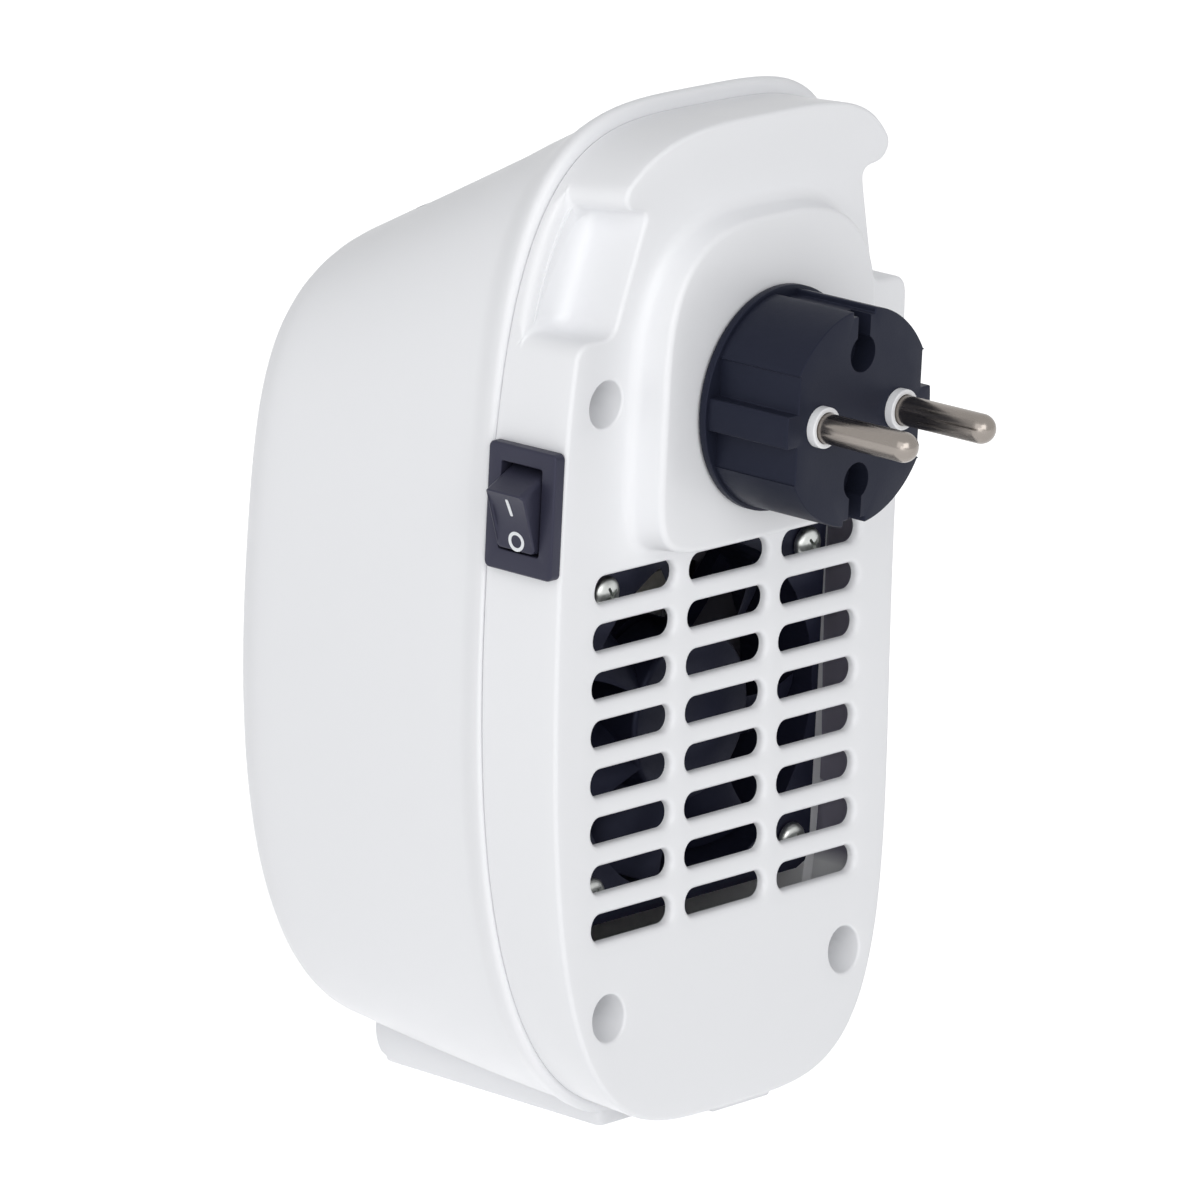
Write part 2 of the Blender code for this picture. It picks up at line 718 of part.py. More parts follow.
def front_solid(name, inset, rear_shift, front_shift):
    """Front half of the case as a solid from the seam to the bulged front."""
    depth = SEAM_Y - FRONT_Y
    flare = FLARE_PROUD if inset == 0.0 else 0.0
    edge = RIM_EDGE if inset == 0.0 else 0.0
    middle = 0.5 * (RIM_CREST_AHEAD + FLARE_LENGTH)
    stops = ((0.0, flare - edge), (RIM_CREST_AHEAD, flare), (middle, 0.5 * flare), (FLARE_LENGTH, 0.0))
    rings = [] if inset == 0.0 else [front_ring(0.0, inset, rear_shift)]
    for ahead, extra in stops:
        fade = 1.0 - ahead / FLARE_LENGTH if inset == 0.0 else 0.0
        rings.append(front_ring(ahead / depth, inset, rear_shift * fade, extra))
    straight = 1.0 - (FRONT_EDGE_RADIUS + front_shift) / depth
    for share in np.linspace(2.0 * FLARE_LENGTH / depth, straight, FRONT_STATIONS - 1):
        rings.append(front_ring(float(share), inset))
    radius = FRONT_EDGE_RADIUS - inset
    for step in range(1, EDGE_STATIONS + 1):
        turn = 0.5 * math.pi * step / EDGE_STATIONS
        ahead = straight + radius * math.sin(turn) / depth
        rings.append(front_ring(ahead, inset + radius * (1.0 - math.cos(turn))))
    last = rings[-1]
    for share in (0.7, 0.38, 0.06):
        rings.append(front_face_ring(last, share, front_shift))
    start = rings[0]
    opening = [[(x * share, seam_y(CASE_MIDDLE_Z + (z - CASE_MIDDLE_Z) * share) + rear_shift,
                 CASE_MIDDLE_Z + (z - CASE_MIDDLE_Z) * share) for x, y,
                 z in start] for share in (0.06, 0.5)]
    return loft(name, opening + rings)


def front_face_ring(ring, share, front_shift):
    loop = shrink([(x, z) for x, y, z in ring], share)
    return [(x, front_y(z) + front_shift, z) for x, z in loop]


def foot_solid():
    """Foot drawn from the side and carried across the width; its back follows the seam."""
    low = foot_low()
    rear = [(seam_y(z) - SEAM_GAP - 0.5 * SMALL_EDGE, z) for z in np.linspace(low + FOOT_HEIGHT, low,
                                                                              4).tolist()]
    rise = FOOT_FLAT_FRONT_Y - FOOT_FRONT_Y
    nose = [(FOOT_FLAT_FRONT_Y - rise * math.sin(a), low + 0.7 * rise * (1.0 - math.cos(a)))
            for a in np.linspace(0.0, 0.5 * math.pi, 5)]
    outline = [*rear, *nose, (FOOT_FRONT_Y, low + FOOT_HEIGHT)]
    turn = Matrix.Rotation(math.pi / 2.0, 4, "Z")
    return prism("foot", [outline], -FOOT_HALF_WIDTH, FOOT_HALF_WIDTH, turn)


def slope_frame():
    """Place and inward turn of the sloping top at the control panel."""
    here = (SEAM_Y - PANEL_CENTRE_Y) / (SEAM_Y - FRONT_Y)
    points = []
    for share in (here - SLOPE_STEP_SHARE, here + SLOPE_STEP_SHARE):
        width, up, down = front_station(share)
        z = CASE_MIDDLE_Z + up
        points.append(Vector((0.0, seam_y(z) * (1.0 - share) + front_y(z) * share, z)))
    along = (points[0] - points[1]).normalized()
    centre = (points[0] + points[1]) * 0.5
    tilt = math.atan2(along.z, along.y)
    sunk = Matrix.Translation(Vector((0.0, 0.0, -PANEL_SINK)))
    return Matrix.Translation(centre) @ Matrix.Rotation(tilt, 4, "X") @ sunk


SLOPE = slope_frame()


def on_slope(x, up_slope, height):
    """World point from a place on the sloping top; height is measured outward."""
    return SLOPE @ Vector((x, up_slope, height))


def slope_prism(name, loops, low, high):
    """Extruded loops in the sloping top's own plane, from low to high along its normal."""
    flat = Matrix.Rotation(-math.pi / 2.0, 4, "X")
    mirrored = [[(x, -v) for x, v in loop] for loop in loops]
    return prism(name, mirrored, -high, -low, SLOPE @ flat)


def wall_x(z, share):
    """Half width of the front shell at a height and a share of its depth."""
    width, up, down = front_station(share)
    above = z >= CASE_MIDDLE_Z
    power = OUTLINE_POWER_UP if above else OUTLINE_POWER_DOWN
    reach = up if above else down
    part = abs(z - CASE_MIDDLE_Z) / reach
    return width * (1.0 - part ** power) ** (1.0 / power)


def front_posts(shell):
    """Posts that take the case screws, each on a rib to the side wall."""
    share = (SEAM_Y - POST_FRONT_Y) / (SEAM_Y - FRONT_Y)
    for index, (x, z) in enumerate(screw_places()):
        side = math.copysign(1.0, x)
        start = seam_y(z) - GAP
        post = rod(f"post_{index}", POST_RADIUS, (x, POST_FRONT_Y, z), (x, start, z), 16)
        far = wall_x(z, share) - 0.6 * WALL
        rib_end = start - TONGUE_LENGTH - WALL
        rib = box(f"rib_{index}", (far - abs(x), rib_end - POST_FRONT_Y, POST_RIB),
                  (side * 0.5 * (far + abs(x)), 0.5 * (rib_end + POST_FRONT_Y), z))
        join(shell, post, rib)
        hole = rod(f"post_hole_{index}", SCREW_RADIUS, (x, start - CASE_SCREW_LENGTH, z),
                   (x, start + WALL, z), 8)
        cut(shell, hole)


def build_front_shell():
    shell = front_solid("front_shell", 0.0, -SEAM_GAP, 0.0)
    join(shell, foot_solid())
    cut(shell, front_solid("front_hollow", WALL, WALL, WALL))
    front_posts(shell)
    outlet = prism("outlet", [round_rect((0.0, FAN_Z), OUTLET_HALF + GAP, OUTLET_HALF + GAP, OUTLET_CORNER,
                                         4)],
                   FRONT_Y - WALL, DUCT_FRONT_Y)
    panel = slope_prism("panel_opening", [round_rect((0.0, 0.0), PANEL_WIDTH * 0.5 + GAP,
                                                     PANEL_HEIGHT * 0.5 + GAP, PANEL_CORNER, 4)],
                        -WALL * 3.0, WALL * 3.0)
    cut(shell, outlet, panel)
    return node(shell, material("shell_white_front", WHITE, 0.38))


# Plug

def plug_point(x, y, z):
    return (x, y, PLUG_Z + z)


def build_plug_body():
    """Round plug body, its collar and the neck that turns in the back."""
    axis = plug_point(0.0, 0.0, 0.0)
    face = BOSS_Y + PLUG_LENGTH
    collar_low = BOSS_Y + TURN_GAP
    collar_high = collar_low + PLUG_COLLAR_LENGTH
    neck_end = BOSS_Y - WALL - TURN_GAP
    profile = [(0.0, face), (PLUG_RADIUS - SMALL_EDGE, face), (PLUG_RADIUS, face - SMALL_EDGE),
               (PLUG_RADIUS, collar_high + SMALL_EDGE), (PLUG_COLLAR_RADIUS, collar_high),
               (PLUG_COLLAR_RADIUS, collar_low), (PLUG_NECK_RADIUS, collar_low),
               (PLUG_NECK_RADIUS, neck_end), (0.0, neck_end)]
    body = turned("plug_body", profile, axis, (0.0, 1.0, 0.0), 40)
    plug_flats(body, face, collar_high)
    plug_face_details(body, face)
    for side in (1, -1):
        x = side * PIN_HALF_PITCH
        root = face - PIN_ROOT - GAP
        bore = rod(f"pin_bore_{side}", PIN_RADIUS + GAP, plug_point(x, root, 0.0),
                   plug_point(x, face + GAP, 0.0), 16)
        socket = rod(f"sleeve_bore_{side}", SLEEVE_RADIUS + GAP, plug_point(x, face - SLEEVE_ROOT - GAP,
                                                                            0.0),
                     plug_point(x, face + GAP, 0.0), 20)
        hole_x = side * RETAINER_SCREW_X
        hole = rod(f"neck_hole_{side}", SCREW_RADIUS, plug_point(0.0, neck_end - GAP, hole_x),
                   plug_point(0.0, neck_end + WALL * 2.0, hole_x), 8)
        cut(body, bore, socket, hole)
    return node(body, material("plug_black", BLACK, 0.42), plug_point(0.0, BOSS_Y, 0.0))


def plug_flats(body, face, collar_high):
    """Flats on both sides with a guide rib between them, and the contact grooves."""
    length = face - collar_high + GAP
    middle_y = 0.5 * (face + collar_high + GAP)
    band = PLUG_FLAT_HALF_HEIGHT - PLUG_RIB_HALF_HEIGHT
    middle_z = 0.5 * (PLUG_FLAT_HALF_HEIGHT + PLUG_RIB_HALF_HEIGHT)
    reach = PLUG_RADIUS - PLUG_FLAT_X
    for side in (1, -1):
        for level in (1, -1):
            flat = box(f"flat_{side}_{level}", (2.0 * reach, length, band),
                       plug_point(side * (PLUG_FLAT_X + reach), middle_y, level * middle_z))
            cut(body, flat)
        groove = box(f"groove_{side}", (PLUG_GROOVE_WIDTH, length, 2.0 * PLUG_GROOVE_DEPTH),
                     plug_point(0.0, middle_y, side * PLUG_RADIUS))
        cut(body, groove)


def plug_face_details(body, face):
    """Keyhole shaped pockets above and below the pins."""
    for side in (1, -1):
        pocket = rod(f"keyhole_{side}", KEYHOLE_RADIUS, plug_point(0.0, face - KEYHOLE_DEPTH,
                                                                   side * KEYHOLE_Z),
                     plug_point(0.0, face + GAP, side * KEYHOLE_Z), 16)
        run = PLUG_RADIUS - KEYHOLE_Z + GAP
        slot = box(f"keyway_{side}", (KEYHOLE_SLOT_WIDTH, KEYHOLE_DEPTH, run),
                   plug_point(0.0, face - 0.5 * KEYHOLE_DEPTH + GAP, side * (KEYHOLE_Z + 0.5 * run)))
        cut(body, pocket, slot)


def build_pins():
    face = BOSS_Y + PLUG_LENGTH
    for number, side in ((1, 1), (2, -1)):
        x = side * PIN_HALF_PITCH
        dome = [(PIN_RADIUS * math.sin(a), face + PIN_LENGTH - PIN_RADIUS * (1.0 - math.cos(a)))
                for a in np.linspace(0.0, 0.5 * math.pi, 5)]
        root = face - PIN_ROOT
        pin = turned(f"plug_pin_{number}", [*dome, (PIN_RADIUS, root), (0.0, root)],
                     plug_point(x, 0.0, 0.0), (0.0, 1.0, 0.0), 20)
        node(pin, material(f"pin_nickel_{number}", (0.72, 0.69, 0.64), 0.22, 1.0), plug_point(x, face, 0.0))
        inner = SLEEVE_RADIUS - SLEEVE_WALL
        low = face - SLEEVE_ROOT
        high = face + SLEEVE_PROUD
        mouth = [(inner, high), (SLEEVE_RADIUS, high), (SLEEVE_RADIUS, low), (inner, low), (inner, high)]
        sleeve = turned(f"pin_sleeve_{number}", mouth, plug_point(x, 0.0, 0.0), (0.0, 1.0, 0.0), 20)
        node(sleeve, material(f"sleeve_white_{number}", (0.8, 0.8, 0.8), 0.45), plug_point(x, face, 0.0))


def build_retainer():
    """Disc that holds the plug in the back from inside, with its two screws."""
    high = BOSS_Y - WALL - TURN_GAP - GAP
    low = high - RETAINER_THICKNESS
    disc = rod("plug_retainer", RETAINER_RADIUS, plug_point(0.0, low, 0.0), plug_point(0.0, high, 0.0), 32)
    hole = rod("retainer_hole", RETAINER_HOLE_RADIUS, plug_point(0.0, low - GAP, 0.0),
               plug_point(0.0, high + GAP, 0.0), 20)
    cut(disc, hole)
    for number, side in ((1, 1), (2, -1)):
        z = side * RETAINER_SCREW_X
        clear = rod(f"retainer_clear_{side}", SCREW_RADIUS + GAP, plug_point(0.0, low - GAP, z),
                    plug_point(0.0, high + GAP, z), 10)
        cut(disc, clear)
        length = RETAINER_THICKNESS + GAP + WALL * 1.8
        screw(f"retainer_screw_{number}", plug_point(0.0, low - GAP, z), (0.0, -1.0, 0.0), length,
              SCREW_HEAD_RADIUS, SCREW_HEAD_HEIGHT, number + 20)
    node(disc, material("retainer_grey", (0.35, 0.35, 0.36), 0.5), plug_point(0.0, high, 0.0))


def screw(name, seat, outward, length, head_radius, head_height, number):
    """Pan head screw whose head stands on the seat and whose shank goes the other way."""
    shank = SCREW_RADIUS - GAP
    profile = [(0.0, head_height), (0.55 * head_radius, 0.92 * head_height),
               (0.88 * head_radius, 0.58 * head_height),
               (head_radius, 0.15 * head_height), (head_radius, 0.0), (shank, 0.0), (shank, -length),
               (0.0, -length)]
    made = turned(name, profile, seat, outward, 12)
    return node(made, material(f"screw_steel_{number}", (0.66, 0.66, 0.67), 0.3, 1.0), seat)


# Rocker switch

def build_switch():
    wall = CASE_HALF_WIDTH
    bezel = box("switch_housing", (BEZEL_PROUD, BEZEL_WIDTH, BEZEL_HEIGHT),
                (wall + GAP + 0.5 * BEZEL_PROUD, SWITCH_Y, SWITCH_Z))
    bevel(bezel, SMALL_EDGE, 1)
    bezel = bake(bezel)
    inside = wall + GAP + 0.5 * BEZEL_PROUD - HOUSING_DEPTH
    body = box("housing_body", (HOUSING_DEPTH, HOUSING_WIDTH, HOUSING_HEIGHT),
               (inside + 0.5 * HOUSING_DEPTH, SWITCH_Y, SWITCH_Z))
    join(bezel, body)
    pivot = rocker_pivot_x()
    swing = rocker_reach(0.0) + 2.0 * GAP
    pocket_y = 0.5 * ROCKER_WIDTH + GAP
    room = rod("rocker_room", swing, (pivot, SWITCH_Y - pocket_y, SWITCH_Z),
               (pivot, SWITCH_Y + pocket_y, SWITCH_Z), 28)
    mouth = box("rocker_mouth", (ROCKER_PIVOT_DEPTH * 2.0, 2.0 * pocket_y, 2.0 * ROCKER_OPENING_HALF),
                (pivot + ROCKER_PIVOT_DEPTH, SWITCH_Y, SWITCH_Z))
    cut(bezel, room, mouth)
    for number, level in ((1, 1), (2, -1)):
        z = SWITCH_Z + level * SWITCH_TAB_OFFSET
        size = (SWITCH_TAB_LENGTH, SWITCH_TAB_WIDTH, SWITCH_TAB_THICKNESS)
        tab = box(f"switch_tab_{number}", size, (inside - GAP - 0.5 * SWITCH_TAB_LENGTH, SWITCH_Y, z))
        node(tab, material(f"tab_brass_{number}", (0.62, 0.5, 0.25), 0.32, 1.0), (inside, SWITCH_Y, z))
    node(bezel, material("switch_black", BLACK, 0.38), (wall, SWITCH_Y, SWITCH_Z))
    build_rocker()


def rocker_pivot_x():
    return CASE_HALF_WIDTH + GAP + BEZEL_PROUD - ROCKER_PIVOT_DEPTH


def rocker_reach(rise):
    """Half length that just clears the opening when that end is pressed in."""
    clear = ROCKER_OPENING_HALF - GAP
    return (clear - rise * math.sin(ROCKER_REST_TILT)) / math.cos(ROCKER_REST_TILT)


def build_rocker():
    """Rocker drawn level, then tilted to its rest with the lower end pressed in."""
    swing = rocker_reach(0.0)
    end = rocker_reach(ROCKER_END_RISE)
    round_back = arc((0.0, 0.0), swing, math.pi, 2.0 * math.pi, 11)
    side = [(rise, along) for along, rise in round_back]
    outline = [(ROCKER_END_RISE, end), (ROCKER_MIDDLE_RISE, 0.0), (ROCKER_END_RISE, -end), *side]
    body = prism("switch_rocker", [outline], -0.5 * ROCKER_WIDTH, 0.5 * ROCKER_WIDTH)
    place = Vector((rocker_pivot_x(), SWITCH_Y, SWITCH_Z))
    body.data.transform(Matrix.Rotation(ROCKER_REST_TILT, 4, "Y"))
    body.data.transform(Matrix.Translation(place))
    return node(body, material("rocker_black", (0.022, 0.022, 0.026), 0.34), place)


# Fan

def fan_corners():
    places = []
    for x in (1, -1):
        for z in (1, -1):
            places.append((x * FAN_HOLE_HALF_PITCH, FAN_Z + z * FAN_HOLE_HALF_PITCH))
    return places


def build_fan_frame():
    front = FAN_BACK_Y - FAN_DEPTH
    frame = prism("fan_frame", [round_rect((0.0, FAN_Z), FAN_HALF, FAN_HALF, FAN_CORNER, 3)],
                  front, FAN_BACK_Y)
    bore = rod("fan_bore", FAN_BORE_RADIUS, (0.0, front - GAP, FAN_Z), (0.0, FAN_BACK_Y + GAP, FAN_Z), 40)
    cut(frame, bore)
    base = rod("fan_base", FAN_BASE_RADIUS, (0.0, front, FAN_Z), (0.0, front + FAN_BASE_THICKNESS, FAN_Z),
               28)
    reach = 2.0 * (FAN_BORE_RADIUS + GAP)
    for turn in (45.0, 135.0):
        strut = box(f"strut_{turn:.0f}", (reach, FAN_BASE_THICKNESS, FAN_STRUT_WIDTH), (0.0, 0.0, 0.0),
                    Matrix.Rotation(math.radians(turn), 4, "Y"))
        strut.data.transform(Matrix.Translation(Vector((0.0, front + 0.5 * FAN_BASE_THICKNESS, FAN_Z))))
        join(base, strut)
    join(frame, base)
    for index, (x, z) in enumerate(fan_corners()):
        hole = rod(f"fan_hole_{index}", SCREW_RADIUS + GAP, (x, front - GAP, z), (x, FAN_BACK_Y + GAP, z),
                   12)
        cut(frame, hole)
    bearing = rod("fan_bearing_hole", SHAFT_RADIUS + TURN_GAP, (0.0, front + SMALL_EDGE, FAN_Z),
                  (0.0, front + WALL * 2.0, FAN_Z), 16)
    cut(frame, bearing)
    node(frame, material("fan_black", (0.02, 0.02, 0.021), 0.5), (0.0, front, FAN_Z))


def blade_section(radius, angle, middle_y):
    """Four corners of a blade section at a radius, pitched by the angle."""
    chord = 0.5 * BLADE_CHORD
    thick = 0.5 * BLADE_THICKNESS
    corners = []
    for along, across in ((chord, thick), (-chord, thick), (-chord, -thick), (chord, -thick)):
        x = along * math.cos(angle) - across * math.sin(angle)
        y = middle_y + along * math.sin(angle) + across * math.cos(angle)
        z = math.sqrt(max(radius * radius - x * x, radius * radius * 0.25))
        corners.append((x, y, z))
    return corners


def build_impeller():
    back = FAN_BACK_Y - TURN_GAP * 2.0
    front = back - HUB_LENGTH
    inner = HUB_RADIUS - HUB_WALL
    profile = [(0.0, back), (HUB_RADIUS - SMALL_EDGE, back), (HUB_RADIUS, back - SMALL_EDGE),
               (HUB_RADIUS, front),
               (inner, front), (inner, back - HUB_WALL), (SHAFT_RADIUS + GAP, back - HUB_WALL),
               (SHAFT_RADIUS + GAP, back - 0.5 * HUB_WALL), (0.0, back - 0.5 * HUB_WALL)]
    hub = turned("fan_impeller", profile, (0.0, 0.0, FAN_Z), (0.0, 1.0, 0.0), 28)
    middle = 0.5 * (back + front)
    radii = (inner + 0.5 * HUB_WALL, 0.5 * (HUB_RADIUS + BLADE_TIP_RADIUS), BLADE_TIP_RADIUS)
    pitches = (BLADE_ROOT_ANGLE, 0.5 * (BLADE_ROOT_ANGLE + BLADE_TIP_ANGLE), BLADE_TIP_ANGLE)
    for index in range(BLADE_COUNT):
        rings = [blade_section(radius, pitch, middle) for radius, pitch in zip(radii, pitches)]
        blade = loft(f"blade_{index}", rings)
        blade.data.transform(Matrix.Rotation(2.0 * math.pi * index / BLADE_COUNT, 4, "Y"))
        blade.data.transform(Matrix.Translation(Vector((0.0, 0.0, FAN_Z))))
        join(hub, blade)
    node(hub, material("impeller_black", (0.025, 0.025, 0.027), 0.45), (0.0, middle, FAN_Z))
    shaft_front = FAN_BACK_Y - FAN_DEPTH + SMALL_EDGE + TURN_GAP
    shaft = rod("fan_shaft", SHAFT_RADIUS, (0.0, shaft_front, FAN_Z),
                (0.0, back - 0.5 * HUB_WALL - GAP, FAN_Z), 16)
    node(shaft, material("shaft_steel", (0.6, 0.6, 0.61), 0.25, 1.0), (0.0, middle, FAN_Z))
    start = FAN_BACK_Y - FAN_DEPTH + FAN_BASE_THICKNESS + GAP
    stator = rod("fan_stator", STATOR_RADIUS, (0.0, start, FAN_Z), (0.0, start + STATOR_LENGTH, FAN_Z), 24)
    hole = rod("stator_hole", SHAFT_RADIUS + TURN_GAP, (0.0, start - GAP, FAN_Z),
               (0.0, start + STATOR_LENGTH + GAP, FAN_Z), 16)
    cut(stator, hole)
    node(stator, material("stator_copper", (0.5, 0.24, 0.12), 0.4, 0.7), (0.0, start, FAN_Z))


def build_fan_screws():
    length = FAN_DEPTH + GAP * 2.0 + FAN_SCREW_BITE
    for number, (x, z) in enumerate(fan_corners(), 1):
        screw(f"fan_screw_{number}", (x, FAN_BACK_Y + GAP, z), (0.0, 1.0, 0.0), length,
              SCREW_HEAD_RADIUS, SCREW_HEAD_HEIGHT, number)


def build_case_screws():
    for number, (x, z) in enumerate(screw_places(), 1):
        seat = recess_floor(z) + GAP
        screw(f"case_screw_{number}", (x, seat, z), (0.0, 1.0, 0.0), CASE_SCREW_LENGTH * 0.9,
              CASE_SCREW_HEAD_RADIUS, SCREW_HEAD_HEIGHT, number + 10)


# Duct and heating element

def duct_top():
    return FAN_Z + 0.5 * DUCT_OUTER


def build_duct():
    back = FAN_BACK_Y - FAN_DEPTH - GAP
    outer = 0.5 * DUCT_OUTER
    inner = outer - DUCT_WALL
    duct = prism("air_duct", [round_rect((0.0, FAN_Z), outer, outer, DUCT_WALL, 3)], DUCT_FRONT_Y, back)
    bore = box("duct_bore", (2.0 * inner, back - DUCT_FRONT_Y + WALL, 2.0 * inner),
               (0.0, 0.5 * (back + DUCT_FRONT_Y), FAN_Z))
    cut(duct, bore)
    block = 2.0 * (inner - FAN_HOLE_HALF_PITCH) + DUCT_WALL
    length = FAN_SCREW_BITE + GAP * 4.0
    for index, (x, z) in enumerate(fan_corners()):
        lump = box(f"block_{index}", (block, length, block), (x, back - GAP - 0.5 * length, z))
        hole = rod(f"block_hole_{index}", SCREW_RADIUS, (x, back - length - WALL, z), (x, back + GAP, z), 8)
        cut(join(duct, lump), hole)
    for index, (x, y) in enumerate(standoff_places()):
        post = rod(f"standoff_{index}", DUCT_STANDOFF_RADIUS, (x, y, duct_top() - 0.5 * DUCT_WALL),
                   (x, y, duct_top() + DUCT_STANDOFF_HEIGHT), 12)
        join(duct, post)
    for side in (1, -1):
        slot = box(f"terminal_slot_{side}", (TERMINAL_WIDTH + 2.0 * GAP, TERMINAL_THICKNESS + 2.0 * GAP,
                                             DUCT_WALL * 3.0),
                   (side * TERMINAL_X, HEATER_BACK_Y - 0.5 * HEATER_DEPTH, duct_top() - 0.5 * DUCT_WALL))
        cut(duct, slot)
    node(duct, material("duct_grey", (0.55, 0.56, 0.57), 0.5), (0.0, back, FAN_Z))


def standoff_places():
    half_x = 0.5 * POWER_BOARD_WIDTH - DUCT_STANDOFF_RADIUS
    half_y = 0.5 * POWER_BOARD_DEPTH - DUCT_STANDOFF_RADIUS
    return [(x * half_x, POWER_BOARD_Y + y * half_y) for x in (1, -1) for y in (1, -1)]


def build_heater():
    front = HEATER_BACK_Y - HEATER_DEPTH
    outer = 0.5 * DUCT_OUTER - DUCT_WALL - GAP
    inner = outer - HEATER_RAIL
    frame = prism("heater_frame", [round_rect((0.0, FAN_Z), outer, outer, SMALL_EDGE, 2)], front,
                  HEATER_BACK_Y)
    window = box("heater_window", (2.0 * inner, HEATER_DEPTH + WALL, 2.0 * inner),
                 (0.0, 0.5 * (front + HEATER_BACK_Y), FAN_Z))
    cut(frame, window)
    node(frame, material("heater_frame_black", (0.03, 0.028, 0.027), 0.55), (0.0, front, FAN_Z))
    packs = CORE_COUNT + 1
    half = inner - GAP
    pack_height = (2.0 * half - CORE_COUNT * (CORE_HEIGHT + 2.0 * GAP)) / packs
    depth = HEATER_DEPTH * CORE_DEPTH_SHARE
    middle = 0.5 * (front + HEATER_BACK_Y)
    low = FAN_Z - half
    for number in range(1, packs + 1):
        fin_pack(number, low, low + pack_height, half, middle, depth)
        low += pack_height + GAP
        if number <= CORE_COUNT:
            core = box(f"ceramic_core_{number}", (2.0 * half, depth, CORE_HEIGHT),
                       (0.0, middle, low + 0.5 * CORE_HEIGHT))
            node(core, material(f"core_ceramic_{number}", (0.62, 0.6, 0.55), 0.7), (0.0, middle, low))
            low += CORE_HEIGHT + GAP
    for number, side in ((1, 1), (2, -1)):
        start = FAN_Z + outer + GAP
        end = duct_top() + 0.8 * DUCT_STANDOFF_HEIGHT
        blade = box(f"heater_terminal_{number}", (TERMINAL_WIDTH, TERMINAL_THICKNESS, end - start),
                    (side * TERMINAL_X, middle, 0.5 * (start + end)))
        node(blade, material(f"terminal_brass_{number}", (0.62, 0.5, 0.25), 0.32, 1.0),
             (side * TERMINAL_X, middle, start))


def fin_pack(number, low, high, half, middle, depth):
    """Folded aluminium strip drawn as one closed zigzag outline."""
    count = 2 * FIN_FOLDS
    rise = 0.5 * FIN_SHEET_RISE
    line = []
    for index in range(count + 1):
        x = half * (2.0 * index / count - 1.0)
        line.append((x, high - rise if index % 2 else low + rise))
    outline = [(x, z + rise) for x, z in line] + [(x, z - rise) for x, z in reversed(line)]
    pack = prism(f"fin_pack_{number}", [outline], middle - 0.5 * depth, middle + 0.5 * depth)
    node(pack, material(f"fin_aluminium_{number}", (0.74, 0.75, 0.76), 0.34, 1.0), (0.0, middle, low))


def build_cutout():
    low = duct_top() + GAP
    y = DUCT_FRONT_Y + CUTOUT_RADIUS - WALL
    disc = rod("thermal_cutout", CUTOUT_RADIUS * 0.8, (0.0, y, low), (0.0, y, low + CUTOUT_HEIGHT), 20)
    node(disc, material("cutout_metal", (0.55, 0.55, 0.56), 0.35, 1.0), (0.0, y, low))


# Outlet grille

def build_outlet_grille():
    front = front_y(FAN_Z) + OUTLET_FLANGE
    back = front + OUTLET_DEPTH
    half = OUTLET_HALF
    frame = prism("outlet_grille", [round_rect((0.0, FAN_Z), half, half, OUTLET_CORNER, 4)], front, back)
    inner = half - OUTLET_FRAME
    window = prism("grille_window", [round_rect((0.0, FAN_Z), inner, inner, OUTLET_CORNER - OUTLET_FRAME,
                                                4)],
                   front - GAP, back + GAP)
    cut(frame, window)
    pitch = 2.0 * inner / (LOUVRE_COUNT + 1)
    middle = 0.5 * (front + back)
    for index in range(LOUVRE_COUNT):
        z = FAN_Z - inner + pitch * (index + 1)
        slat = box(f"louvre_{index}", (2.0 * inner + OUTLET_FRAME, LOUVRE_CHORD, LOUVRE_THICKNESS),
                   (0.0, 0.0, 0.0),
                   Matrix.Rotation(LOUVRE_TILT, 4, "X"))
        slat.data.transform(Matrix.Translation(Vector((0.0, middle, z))))
        join(frame, slat)
    bar = box("grille_bar", (LOUVRE_THICKNESS * 1.2, LOUVRE_THICKNESS * 2.0, 2.0 * inner + OUTLET_FRAME),
              (0.0, back - LOUVRE_THICKNESS, FAN_Z))
    join(frame, bar)
    node(frame, material("grille_black", (0.02, 0.02, 0.022), 0.45), (0.0, front, FAN_Z))


# Control panel

def button_places():
    first = -0.5 * (BUTTON_COUNT - 1) * BUTTON_PITCH
    return [(first + index * BUTTON_PITCH, -BUTTON_DOWN) for index in range(BUTTON_COUNT)]


def panel_back():
    return PANEL_PROUD - PANEL_THICKNESS


def flange_low():
    return panel_back() - GAP - BUTTON_FLANGE


def tact_top():
    return flange_low() - BUTTON_TRAVEL - GAP


def board_top():
    return tact_top() - TACT_HEIGHT - GAP


def slope_rod(name, radius, x, up_slope, low, high, segments=20):
    return rod(name, radius, on_slope(x, up_slope, low), on_slope(x, up_slope, high), segments)


def slope_box(name, size, centre):
    made = box(name, size, centre)
    made.data.transform(SLOPE)
    return made


